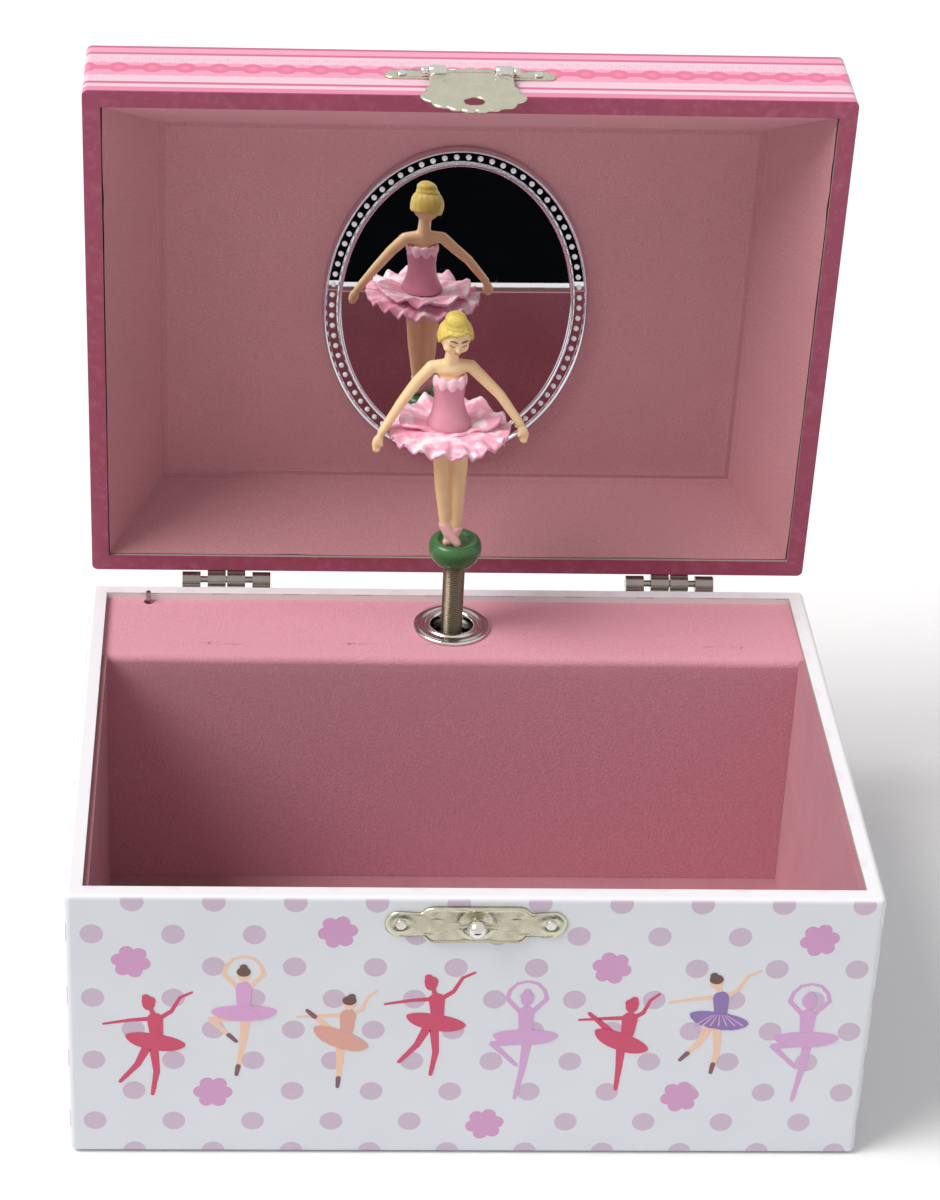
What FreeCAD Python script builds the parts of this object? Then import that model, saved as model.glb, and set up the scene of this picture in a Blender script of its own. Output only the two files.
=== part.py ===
import FreeCAD, Part
import math
import os

os.makedirs("parts", exist_ok=True)

# Wind-up music box with a folding dancer. Millimetres, +X right, +Y back, +Z up.
# The origin is the centre of the flat underside. The lid stands open on its stop.

# Overall sizes
WIDTH = 150.0
DEPTH = 110.0
CASE_H = 60.0
LID_H = 21.5
RIM_GAP = 0.6
OPEN_DEG = 87.0

# Sheet and board thicknesses
WRAP = 0.25
BOARD = 3.0
LID_WALL = 3.25
LID_TOP = 1.6
FLOOR = 2.5
LINER = 1.0
LID_LINER = 0.6
COVER = 1.2
EDGE_R = 1.2

# Dancer, post and eyelet
POST_Y = DEPTH / 2 - 13.3
DECK_Z = CASE_H - 1.3
COVER_Y = DEPTH / 2 - 26.1
POST_R = 2.25
POST_BORE = 1.65
STAND_Z = CASE_H + 12.7
STAND_H = 7.1
STAND_R = 5.3
DANCER_H = 52.0
TUTU_R = 12.6
ARM_SPAN = 29.1
EYELET_R = 5.1
RUN = 0.05

# Mirror
MIRROR_A = 27.6
MIRROR_B = 36.2
RING_W = 4.0
RING_H = 2.2
GLASS_T = 1.4
BEADS = 78

# Hardware
HINGE_W = 18.5
HINGE_X = 46.8
KNUCKLE_R = 1.65
PIN_R = 0.7
HASP_R = 1.3
LATCH_Z = CASE_H - 5.0
KNOB_R = 1.85

# Movement
MODULE = 0.4
WHEEL_T = 36
SPINDLE_T = 18
GOVERNOR_T = 24
WORM_WHEEL_T = 20
CROWN_T = 52
PINION_T = 12
CROWN_M = 0.5
BARREL_R = 10.0
DRUM_R = 6.5
NOTES = 18
PLATE = 1.5
ARM_T = 0.8

V = FreeCAD.Vector
X_AXIS = V(1, 0, 0)
Y_AXIS = V(0, 1, 0)
Z_AXIS = V(0, 0, 1)

PIN_Y = DEPTH / 2 + 2.0
PIN_Z = CASE_H + RIM_GAP / 2
LID_Z0 = CASE_H + RIM_GAP
LID_Z1 = LID_Z0 + LID_H
INNER_X = WIDTH / 2 - WRAP - BOARD
INNER_Y = DEPTH / 2 - WRAP - BOARD
FLOOR_Z = 2 * WRAP + FLOOR


def box(x0, x1, y0, y1, z0, z1):
    """A block between two corners."""
    return Part.makeBox(x1 - x0, y1 - y0, z1 - z0, V(x0, y0, z0))


def rod(x, y, z, radius, length, axis):
    """A round bar from a point along an axis."""
    return Part.makeCylinder(radius, length, V(x, y, z), axis)


def rounded(x, y, z0, z1, side_r, top_r, bottom_r):
    """A block about the Z axis with rounded upright, top and bottom edges."""
    body = box(-x, x, -y, y, z0, z1)
    upright = [e for e in body.Edges if abs(e.BoundBox.ZLength) > 1]
    body = body.makeFillet(side_r, upright)
    top = [e for e in body.Edges if e.BoundBox.ZMin > z1 - 0.01]
    body = body.makeFillet(top_r, top)
    low = [e for e in body.Edges if e.BoundBox.ZMax < z0 + 0.01]
    return body.makeFillet(bottom_r, low)


def turned(points, x, y):
    """A body of revolution from a closed (radius, height) outline about an upright axis."""
    wire = Part.makePolygon([V(r, 0, z) for r, z in points + points[:1]])
    body = Part.Face(wire).revolve(V(0, 0, 0), Z_AXIS, 360)
    body.translate(V(x, y, 0))
    return body


def ellipse(a, b, x, y, z0, z1):
    """An upright oval block with its long axis along Y."""
    oval = Part.Ellipse(V(x, y + b, z0), V(x + a, y, z0), V(x, y, z0)).toShape()
    return Part.Face(Part.Wire([oval])).extrude(V(0, 0, z1 - z0))


def skin(rings):
    """A closed body of flat triangles through rings of matching points."""
    count = len(rings[0])
    faces = []
    for low, high in zip(rings, rings[1:]):
        for k in range(count):
            n = (k + 1) % count
            for corners in ([low[k], low[n], high[n]], [low[k], high[n], high[k]]):
                faces.append(Part.Face(Part.makePolygon(corners + corners[:1])))
    for ring in (rings[0], rings[-1]):
        faces.append(Part.Face(Part.makePolygon(ring + ring[:1])))
    return Part.makeSolid(Part.makeShell(faces))


def limb(stations):
    """A tapering faceted limb through (x, y, z, radius) stations."""
    spots = [V(*station[:3]) for station in stations]
    rings = []
    for k, spot in enumerate(spots):
        way = spots[min(k + 1, len(spots) - 1)] - spots[max(k - 1, 0)]
        side = way.cross(Y_AXIS).normalize()
        front = way.cross(side).normalize()
        ring = []
        for j in range(12):
            a = 2 * math.pi * j / 12
            ring.append(spot + (side * math.cos(a) + front * math.sin(a)) * stations[k][3])
        rings.append(ring)
    return skin(rings)


def outline(points, start, run):
    """A flat closed outline pushed along a run, given as (x, z) points at one Y."""
    wire = Part.makePolygon([V(x, start, z) for x, z in points + points[:1]])
    return Part.Face(wire).extrude(V(0, run, 0))


def gear(teeth, module, z0, z1, x, y, phase, bore, thin):
    """An involute spur wheel. The phase is the angle of one tooth's centre, in degrees."""
    pitch_r = module * teeth / 2
    base_r = pitch_r * math.cos(math.radians(20))
    tip_r = pitch_r + module * 0.95
    root_r = pitch_r - module * 1.25
    inv20 = math.tan(math.radians(20)) - math.radians(20)
    half = (math.pi * module / 2 - thin) / 2 / pitch_r
    flank = []
    for k in range(5):
        r = max(base_r, root_r) + (tip_r - max(base_r, root_r)) * k / 4
        a = math.acos(min(1.0, base_r / r))
        flank.append((r, half + inv20 - (math.tan(a) - a)))
    points = []
    for k in range(teeth):
        mid = math.radians(phase) + 2 * math.pi * k / teeth
        side = [(root_r, flank[0][1])] + flank
        for r, a in side:
            points.append((r, mid - a))
        for r, a in reversed(side):
            points.append((r, mid + a))
    ring = [V(x + r * math.cos(a), y + r * math.sin(a), z0) for r, a in points]
    body = Part.Face(Part.makePolygon(ring + ring[:1])).extrude(V(0, 0, z1 - z0))
    if bore:
        body = body.cut(rod(x, y, z0 - 1, bore, z1 - z0 + 2, Z_AXIS))
    return body


def opened(body):
    """The lid pieces are laid out shut, then swung back about the hinge pins."""
    body = body.copy()
    body.rotate(V(0, PIN_Y, PIN_Z), X_AXIS, -OPEN_DEG)
    return body


def save(name, body):
    """Write one piece, merged along its flat seams."""
    if body.ShapeType != "Compound" or len(body.Solids) == 1:
        body = body.removeSplitter()
    body.exportStep("parts/" + name + ".step")


def screw_heads(places, y_head, head_r, head_t, shank_r, y_tip):
    """Pan-head screws along Y. A head faces away from its tip."""
    way = 1 if y_tip > y_head else -1
    made = []
    for x, z in places:
        head = rod(x, y_head, z, head_r, head_t, V(0, -way, 0))
        rim = [e for e in head.Edges if abs(e.BoundBox.YMin - (y_head - way * head_t)) < 0.01]
        head = head.makeFillet(head_t * 0.4, rim[:1])
        slot = box(x - head_r, x + head_r, -0.25, 0.25, z - 0.25, z + 0.25)
        slot.translate(V(0, y_head - way * head_t, 0))
        shank = rod(x, y_head, z, shank_r, abs(y_tip - y_head), V(0, way, 0))
        made.append(head.cut(slot).fuse(shank))
    return made


def holes(body, places, radius, y0, y1):
    """Drill holes along Y."""
    for x, z in places:
        body = body.cut(rod(x, y0, z, radius, y1 - y0, Y_AXIS))
    return body


def nail_at(x, y, z, way, head_r, head_t, shank_r, length):
    """A round-headed nail driven along a direction from the face it sits on."""
    head = Part.makeCylinder(head_r, head_t, V(x, y, z), V(0, -way, 0))
    edge = [e for e in head.Edges if abs(e.BoundBox.YMin - (y - way * head_t)) < 0.01]
    head = head.makeFillet(head_t * 0.6, edge[:1])
    return head.fuse(Part.makeCylinder(shank_r, length, V(x, y, z), V(0, way, 0)))


# Movement layout. The bedplate stands against the back board.
BED_Y = INNER_Y - PLATE
CYL_X = -MODULE * (WHEEL_T + SPINDLE_T) / 2
GOV_X = CYL_X - MODULE * (WHEEL_T + GOVERNOR_T) / 2
CROWN_R = CROWN_M * CROWN_T / 2
BARREL_X = CYL_X
BARREL_Z = FLOOR_Z + CROWN_R + 4.0
PINION_Z = BARREL_Z + CROWN_R
CROWN_Y = POST_Y + CROWN_M * PINION_T / 2
WHEEL_Z = DECK_Z - COVER - 5.1
DRUM_Z0 = PINION_Z + 2.2
DRUM_Z1 = WHEEL_Z - 1.0
WORM_X = GOV_X - MODULE * WORM_WHEEL_T / 2 - 1.3
WORM_Z = WHEEL_Z - 4.0
ARBOR_R = 2.0
BED_X0 = WORM_X - 7.0
BED_X1 = 20.0
BED_Z0 = FLOOR_Z + 1.5
BED_Z1 = DECK_Z - COVER - 1.0
CASE_SCREWS = [(BED_X0 + 4, 12.0), (BED_X1 - 4, 12.0), (BED_X1 - 1.8, BED_Z1 - 3.0)]
COMB_SCREWS = [(11.4, DRUM_Z0 + 2.4), (11.4, (DRUM_Z0 + DRUM_Z1) / 2), (11.4, DRUM_Z1 - 2.4)]
BRIDGE_FEET = [(BARREL_X - CROWN_R - 4.2, BARREL_Z), (BARREL_X + CROWN_R + 4.2, BARREL_Z)]
LOWER_FOOT = (0.7, PINION_Z + 0.4)
UPPER_FOOT = (CYL_X, WHEEL_Z - 3.0)
SPINDLE_FOOT = (0.0, WHEEL_Z - 3.0)
GOV_FEET = [(WORM_X + 1.0, WHEEL_Z + 2.0), (GOV_X + 1.2, WHEEL_Z - 1.9)]
STOP_X = -45.0
STOP_Z = WHEEL_Z - 2.4
STOP_TIP_X = -63.0
STOP_Y = INNER_Y - 1.05


def make_case(nails):
    """Boards, paper and linings of the lower box."""
    nail_cut = Part.makeCompound(nails + [rod(0, -DEPTH / 2 - 1, LATCH_Z, 0.8, 3.0, Y_AXIS)])
    outer = rounded(WIDTH / 2, DEPTH / 2, WRAP, CASE_H, EDGE_R, 1.0, 0.8)
    core = rounded(
        WIDTH / 2 - WRAP, DEPTH / 2 - WRAP, 2 * WRAP, CASE_H - WRAP,
        EDGE_R - WRAP, 1.0 - WRAP, 0.8 - WRAP,
    )
    back_places = [(BARREL_X, BARREL_Z)]
    wrap = outer.cut(core)
    wrap = wrap.cut(box(-INNER_X, INNER_X, -INNER_Y, INNER_Y, CASE_H - 1, CASE_H + 1))
    wrap = wrap.cut(box(-60, 60, -DEPTH / 2 + 12, DEPTH / 2 - 12, -1, 1))
    wrap = holes(wrap, back_places, 3.2, INNER_Y, DEPTH)
    wrap = holes(wrap, CASE_SCREWS, 1.2, INNER_Y, DEPTH)
    save("case_wrap", wrap.cut(nail_cut))
    save("underside_sheet", box(-WIDTH / 2 + 2, WIDTH / 2 - 2, -DEPTH / 2 + 2, DEPTH / 2 - 2, 0, WRAP))
    save("bottom_board", core.common(box(-WIDTH, WIDTH, -DEPTH, DEPTH, 0, FLOOR_Z)))
    walls = {
        "front_board": box(-WIDTH, WIDTH, -DEPTH, -INNER_Y, FLOOR_Z, CASE_H),
        "back_board": box(-WIDTH, WIDTH, INNER_Y, DEPTH, FLOOR_Z, CASE_H),
        "left_board": box(-WIDTH, -INNER_X, -INNER_Y, INNER_Y, FLOOR_Z, CASE_H),
        "right_board": box(INNER_X, WIDTH, -INNER_Y, INNER_Y, FLOOR_Z, CASE_H),
    }
    for name, part in walls.items():
        wall = core.common(part).cut(nail_cut)
        if name == "back_board":
            wall = holes(wall, back_places, 3.2, INNER_Y - 1, DEPTH)
            wall = holes(wall, CASE_SCREWS, 1.2, INNER_Y - 1, DEPTH)
        save(name, wall)
    top = CASE_H - WRAP - 0.85
    save("floor_liner", box(-INNER_X, INNER_X, -INNER_Y, COVER_Y, FLOOR_Z, FLOOR_Z + LINER))
    z0 = FLOOR_Z + LINER
    save("front_liner", box(-INNER_X, INNER_X, -INNER_Y, -INNER_Y + LINER, z0, top))
    save("left_liner", box(-INNER_X, -INNER_X + LINER, -INNER_Y + LINER, COVER_Y, z0, top))
    save("right_liner", box(INNER_X - LINER, INNER_X, -INNER_Y + LINER, COVER_Y, z0, top))


def make_cover():
    """The folded card over the movement, and the eyelet the post rises through."""
    card = box(-INNER_X, INNER_X, COVER_Y, INNER_Y, FLOOR_Z, DECK_Z)
    edge = [
        e for e in card.Edges
        if e.BoundBox.ZMin > DECK_Z - 0.01 and e.BoundBox.YMax < COVER_Y + 0.01
    ]
    card = card.makeFillet(COVER, edge)
    card = card.cut(box(-WIDTH, WIDTH, COVER_Y + COVER, DEPTH, 0, DECK_Z - COVER))
    card = card.cut(rod(0, POST_Y, DECK_Z - 5, EYELET_R + 0.4, 10, Z_AXIS))
    card = card.cut(box(STOP_TIP_X - 1, STOP_TIP_X + 1, STOP_Y - 1, INNER_Y + 1, DECK_Z - 5, DECK_Z + 1))
    save("movement_cover", card)
    r = EYELET_R
    z = DECK_Z
    rim = [
        (r, z - COVER - 1.2), (r + 0.4, z - COVER - 0.9), (r + 1.3, z - COVER - 0.5),
        (r + 1.3, z - COVER), (r + 0.4, z - COVER), (r + 0.4, z), (r + 2.4, z),
        (r + 2.4, z + 0.35), (r + 2.1, z + 0.75), (r + 1.7, z + 0.8), (r + 1.2, z + 0.55),
        (r + 0.9, z + 0.7), (r + 0.5, z + 0.95), (r + 0.15, z + 0.75), (r, z + 0.3),
    ]
    save("eyelet", turned(rim, 0, POST_Y))


def hinge_spans():
    """Start and end of the four knuckles of each hinge, from its left edge."""
    gap = 1.5
    seam = 0.3
    size = (HINGE_W - 2 * gap - seam) / 4
    starts = [0, size + gap, 2 * size + gap + seam, 3 * size + 2 * gap + seam]
    return [(s, s + size) for s in starts]


def make_hinges():
    """Two surface hinges on the back: outer knuckles on the case, inner ones on the lid."""
    spans = hinge_spans()
    leaf_t = 0.5
    leaf_h = 9.0
    case_leaves = []
    lid_leaves = []
    pins = []
    case_nails = []
    lid_nails = []
    for cx in (-HINGE_X, HINGE_X):
        x0 = cx - HINGE_W / 2
        x1 = cx + HINGE_W / 2
        low = box(x0, x1, DEPTH / 2, DEPTH / 2 + leaf_t, PIN_Z - leaf_h, PIN_Z - KNUCKLE_R - 0.4)
        high = box(x0, x1, DEPTH / 2, DEPTH / 2 + leaf_t, PIN_Z + KNUCKLE_R + 0.4, PIN_Z + leaf_h)
        for k, (a, b) in enumerate(spans):
            outer_one = k in (0, 3)
            ring = rod(x0 + a, PIN_Y, PIN_Z, KNUCKLE_R, b - a, X_AXIS)
            way = -1 if outer_one else 1
            z_root = PIN_Z + way * (KNUCKLE_R + 0.5)
            web = box(
                x0 + a, x0 + b, DEPTH / 2, DEPTH / 2 + leaf_t,
                min(z_root, PIN_Z), max(z_root, PIN_Z),
            )
            ring = ring.fuse(web)
            bore = PIN_R if outer_one else PIN_R + RUN
            ring = ring.cut(rod(x0 + a - 1, PIN_Y, PIN_Z, bore, b - a + 2, X_AXIS))
            if outer_one:
                low = low.fuse(ring)
            else:
                high = high.fuse(ring)
        nails = [cx - 5.5, cx, cx + 5.5]
        for nx in nails:
            nz = PIN_Z - leaf_h + (2.0 if nx == cx else 4.0)
            low = low.cut(rod(nx, DEPTH / 2 - 1, nz, 0.5, 3, Y_AXIS))
            case_nails.append(nail_at(nx, DEPTH / 2 + leaf_t, nz, -1, 1.0, 0.35, 0.45, 3.0))
            tz = PIN_Z + leaf_h - (2.0 if nx == cx else 4.0)
            high = high.cut(rod(nx, DEPTH / 2 - 1, tz, 0.5, 3, Y_AXIS))
            lid_nails.append(nail_at(nx, DEPTH / 2 + leaf_t, tz, -1, 1.0, 0.35, 0.45, 3.0))
        case_leaves.append(low)
        lid_leaves.append(high)
        pins.append(rod(x0, PIN_Y, PIN_Z, PIN_R, HINGE_W, X_AXIS))
    save("case_hinge_leaves", Part.makeCompound(case_leaves))
    save("hinge_pins", Part.makeCompound(pins))
    save("lid_hinge_leaves", opened(Part.makeCompound(lid_leaves)))
    return case_nails, lid_nails


def make_lid(nails):
    """Boards, paper, binding and folded lining of the lid, laid out shut."""
    outer = rounded(WIDTH / 2, DEPTH / 2, LID_Z0 + WRAP, LID_Z1, EDGE_R, 1.0, 0.2)
    core = rounded(
        WIDTH / 2 - WRAP, DEPTH / 2 - WRAP, LID_Z0 + WRAP, LID_Z1 - WRAP,
        EDGE_R - WRAP, 1.0 - WRAP, 0.2,
    )
    ix = WIDTH / 2 - WRAP - LID_WALL
    iy = DEPTH / 2 - WRAP - LID_WALL
    top_z = LID_Z1 - WRAP - LID_TOP
    nail_cut = Part.makeCompound(nails)
    save("lid_wrap", opened(outer.cut(core).cut(nail_cut)))
    save("lid_top_board", opened(core.common(box(-WIDTH, WIDTH, -DEPTH, DEPTH, top_z, LID_Z1))))
    z0 = LID_Z0 + WRAP
    rails = {
        "lid_front_rail": box(-WIDTH, WIDTH, -DEPTH, -iy, z0, top_z),
        "lid_back_rail": box(-WIDTH, WIDTH, iy, DEPTH, z0, top_z),
        "lid_left_rail": box(-WIDTH, -ix, -iy, iy, z0, top_z),
        "lid_right_rail": box(ix, WIDTH, -iy, iy, z0, top_z),
    }
    for name, part in rails.items():
        save(name, opened(core.common(part).cut(nail_cut)))
    rim = rounded(WIDTH / 2, DEPTH / 2, LID_Z0, LID_Z0 + 2.0, EDGE_R, 0.2, 0.15)
    rim = rim.common(box(-WIDTH, WIDTH, -DEPTH, DEPTH, LID_Z0, LID_Z0 + WRAP))
    rim = rim.cut(box(-ix, ix, -iy, iy, 0, LID_Z1))
    save("lid_rim_binding", opened(rim))
    panel_z = top_z - LID_LINER
    t = LID_LINER
    sizes = [
        (ix - 0.1, -iy + 0.1, iy - 0.1, LID_Z0 + 0.7),
        (ix - 11.1 + t, -iy + 12.1 - t, iy - 8.7 + t, top_z),
    ]
    slopes = [
        (ix - 0.1 - t, -iy + 0.1 + t, iy - 0.1 - t, LID_Z0 + 0.7),
        (ix - 11.1, -iy + 12.1, iy - 8.7, panel_z),
    ]

    def tray(rects):
        wires = []
        for x, y0, y1, z in rects:
            corners = [V(-x, y0, z), V(x, y0, z), V(x, y1, z), V(-x, y1, z)]
            wires.append(Part.makePolygon(corners + corners[:1]))
        return Part.makeLoft(wires, True, True)

    save("lid_liner", opened(tray(sizes).cut(tray(slopes))))
    cy = 1.0
    glass = ellipse(MIRROR_A - 3.2, MIRROR_B - 3.2, 0, cy, panel_z - GLASS_T, panel_z)
    save("mirror_plate", opened(glass))
    ring = ellipse(MIRROR_A, MIRROR_B, 0, cy, panel_z - RING_H + 0.7, panel_z)
    ring = ring.fuse(ellipse(MIRROR_A - 0.7, MIRROR_B - 0.7, 0, cy, panel_z - RING_H, panel_z))
    ring = ring.cut(ellipse(MIRROR_A - RING_W, MIRROR_B - RING_W, 0, cy, 0, panel_z))
    ring = ring.cut(ellipse(MIRROR_A - 3.15, MIRROR_B - 3.15, 0, cy, panel_z - GLASS_T, panel_z))
    a = MIRROR_A - 2.1
    b = MIRROR_B - 2.1
    beads = []
    steps = 3600
    lengths = [0.0]
    for k in range(steps):
        p = 2 * math.pi * (k + 0.5) / steps
        rate = math.hypot(a * math.sin(p), b * math.cos(p))
        lengths.append(lengths[-1] + rate * 2 * math.pi / steps)
    j = 0
    for k in range(BEADS):
        while lengths[j] < lengths[-1] * k / BEADS:
            j += 1
        p = 2 * math.pi * j / steps
        foot = V(a * math.cos(p), cy + b * math.sin(p), panel_z - RING_H + 0.3)
        beads.append(Part.makeCone(1.0, 0.55, 1.2, foot, V(0, 0, -1)))
    save("mirror_frame", opened(ring.multiFuse(beads)))


def make_hasp():
    """The strap on the lid's front, and the flap that drops over the knob."""
    face = -DEPTH / 2
    t = 0.5
    zc = LID_Z0 + 7.9
    yc = face - HASP_R - 0.15
    bar = box(-15.0, 15.0, face - t, face, zc - 0.5, zc + 2.5)
    bar = bar.fuse(box(-6.5, 6.5, face - t, face, zc - 0.5, zc + 4.5))
    for side in (-1, 1):
        bar = bar.fuse(rod(side * 15.0, face - t, zc + 1.0, 1.5, t, Y_AXIS))
        bar = bar.fuse(rod(side * 13.3, face - t, zc + 1.0, 2.1, t, Y_AXIS))
        bar = bar.fuse(rod(side * 4.0, face - t, zc + 3.8, 2.0, t, Y_AXIS))
    bar = bar.fuse(rod(0, face - t, zc + 4.3, 2.0, t, Y_AXIS))
    knuckle = rod(-5.8, yc, zc, HASP_R, 11.6, X_AXIS)
    knuckle = knuckle.cut(box(-20, 20, face, 0, zc - 5, zc + 5))
    wire = rod(-10.2, yc, zc, 0.45, 20.4, X_AXIS)
    clear = rod(-10.4, yc, zc, HASP_R + 0.15, 4.45, X_AXIS)
    clear = clear.fuse(rod(5.95, yc, zc, HASP_R + 0.15, 4.45, X_AXIS))
    strap = bar.cut(clear).fuse(knuckle).fuse(wire)
    nails = []
    for side in (-1, 1):
        nx = side * 13.3
        strap = strap.cut(rod(nx, face - 2, zc + 1.0, 0.45, 4, Y_AXIS))
        nails.append(nail_at(nx, face - t, zc + 1.0, 1, 1.0, 0.4, 0.4, 3.0))
    save("hasp_strap", opened(strap))
    low = LATCH_Z - 4.6
    half = [
        (0.0, low), (2.2, low + 0.5), (3.9, low + 2.2), (4.6, low + 4.2), (6.6, low + 5.0),
        (7.6, low + 6.6), (9.4, low + 7.4), (10.15, low + 9.2), (10.15, low + 11.6),
        (8.6, low + 13.0), (9.0, low + 14.6), (9.4, low + 16.2), (9.4, zc - HASP_R * 0.5),
    ]
    side = half + [(-x, z) for x, z in reversed(half[1:])]
    y0 = face - 1.85
    flap = outline(side, y0, 0.6)
    flap = flap.cut(rod(0, y0 - 1, LATCH_Z - 0.3, 1.95, 3, Y_AXIS))
    flap = flap.cut(rod(0, y0 - 1, LATCH_Z + 0.5, 1.95, 3, Y_AXIS))
    flap = flap.cut(rod(-6.1, yc, zc, HASP_R + 0.2, 12.2, X_AXIS))
    for sx in (-10.0, 6.0):
        loop = rod(sx, yc, zc, HASP_R, 4.0, X_AXIS)
        flap = flap.fuse(loop.cut(rod(sx - 1, yc, zc, 0.45 + RUN, 6.0, X_AXIS)))
    flap = flap.cut(rod(-11, yc, zc, 0.45 + RUN, 22.0, X_AXIS))
    ray = []
    for k in range(5):
        r = Part.makeCylinder(0.35, 5.0, V(0, y0 - 0.05, LATCH_Z + 3.2), Z_AXIS)
        r.rotate(V(0, y0, LATCH_Z), Y_AXIS, (k - 2) * 24)
        ray.append(r)
    save("hasp_flap", opened(flap.multiFuse(ray)))
    zp = LATCH_Z - 0.6
    plate = box(-13.5, 13.5, face - t, face, zp - 2.8, zp + 2.8)
    middle = box(-7.0, 7.0, face - t - 0.35, face, zp - 4.05, zp + 4.05)
    corners = [e for e in middle.Edges if e.BoundBox.YLength > 0.5]
    middle = middle.makeChamfer(1.6, corners)
    plate = plate.fuse(middle)
    for side in (-1, 1):
        plate = plate.fuse(rod(side * 13.7, face - t, zp, 3.1, t, Y_AXIS))
    plate = plate.fuse(rod(0, face - t - 0.6, LATCH_Z, 3.35, t + 0.6, Y_AXIS))
    plate = plate.cut(rod(0, face - 3, LATCH_Z, 0.8, 4, Y_AXIS))
    case_nails = []
    for side in (-1, 1):
        nx = side * 13.7
        plate = plate.cut(rod(nx, face - 2, zp + 0.1, 0.45, 4, Y_AXIS))
        case_nails.append(nail_at(nx, face - t, zp + 0.1, 1, 1.0, 0.4, 0.4, 3.0))
    save("catch_plate", plate)
    knob = Part.makeSphere(KNOB_R, V(0, face - 2.6, LATCH_Z))
    knob = knob.fuse(rod(0, face - 2.6, LATCH_Z, 0.8, 4.6, Y_AXIS))
    knob = knob.cut(plate)
    save("catch_knob", knob)
    return nails, case_nails


def make_barrel():
    """Spring barrel with its crown wheel, the arbor, the ratchet and the key."""
    x = BARREL_X
    z = BARREL_Z
    front = CROWN_Y - 10.2
    cup = rod(x, front, z, BARREL_R, 9.6, Y_AXIS)
    cup = cup.cut(rod(x, front + 0.8, z, BARREL_R - 0.8, 7.8, Y_AXIS))
    web = rod(x, CROWN_Y - 0.6, z, 4.0, 1.2, Y_AXIS)
    crown = rod(x, CROWN_Y + 0.6, z, CROWN_R + 0.6, 1.5, Y_AXIS)
    cup = cup.fuse(web).fuse(crown)
    teeth = []
    half = (math.pi * CROWN_M / 2 - 0.3) / 2
    lean = math.tan(math.radians(20))
    for k in range(CROWN_T):
        tip = half - 0.45 * lean
        root = half + 0.62 * lean
        corners = [
            V(-root, 0.62, 0), V(-tip, -0.45, 0), V(tip, -0.45, 0), V(root, 0.62, 0),
        ]
        tooth = Part.Face(Part.makePolygon(corners + corners[:1])).extrude(V(0, 0, 1.2))
        tooth.translate(V(x, CROWN_Y, z + CROWN_R - 0.6))
        tooth.rotate(V(x, 0, z), Y_AXIS, 360.0 * k / CROWN_T)
        teeth.append(tooth)
    drum = cup.multiFuse(teeth)
    drum = drum.cut(rod(x, front - 1, z, ARBOR_R + RUN, 30, Y_AXIS))
    save("barrel_drum", drum)
    coil = []
    for r in (3.4, 4.6, 5.8, 7.0, 8.2):
        turn = rod(x, front + 1.2, z, r + 0.25, 6.8, Y_AXIS)
        coil.append(turn.cut(rod(x, front + 1.1, z, r - 0.25, 7.0, Y_AXIS)))
    bridges = []
    for r in (3.4, 4.6, 5.8, 7.0):
        bridges.append(box(x + r, x + r + 1.2, front + 1.2, front + 8.0, z - 0.2, z + 0.2))
    save("mainspring", coil[0].multiFuse(coil[1:] + bridges))
    key_y = DEPTH / 2 + 1.0
    arbor = rod(x, front - 3.0, z, ARBOR_R, key_y + 4.0 - front + 3.0, Y_AXIS)
    save("winding_arbor", arbor)
    wheel_y = CROWN_Y + 3.0
    points = []
    for k in range(12):
        a = 2 * math.pi * k / 12
        points.append((x + 5.5 * math.cos(a), z + 5.5 * math.sin(a)))
        b = a + 2 * math.pi * 0.92 / 12
        points.append((x + 4.4 * math.cos(b), z + 4.4 * math.sin(b)))
    ratchet = outline(points, wheel_y, 1.2).cut(rod(x, wheel_y - 1, z, ARBOR_R, 4, Y_AXIS))
    save("ratchet_wheel", ratchet)
    pawl = [
        (x + 5.62, z - 0.5), (x + 6.6, z - 1.2), (x + 9.4, z + 6.0), (x + 9.4, z + 9.0),
        (x + 7.0, z + 9.0), (x + 7.0, z + 6.6), (x + 5.7, z + 1.2),
    ]
    post = rod(x + 8.2, wheel_y, z + 7.8, 0.9, BED_Y - wheel_y, Y_AXIS)
    save("click_pawl", outline(pawl, wheel_y, 1.2).fuse(post))
    stem = rod(x, key_y, z, 2.9, 7.0, Y_AXIS)
    wing = box(x - 4, x + 4, key_y + 5.0, key_y + 12.0, z - 0.9, z + 0.9)
    for side in (-1, 1):
        wing = wing.fuse(rod(x + side * 5.4, key_y + 10.5, z - 0.9, 4.6, 1.8, Z_AXIS))
    key = stem.fuse(wing)
    key = key.cut(rod(x, key_y - 1, z, ARBOR_R, 5.0, Y_AXIS))
    save("winding_key", key)


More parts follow.
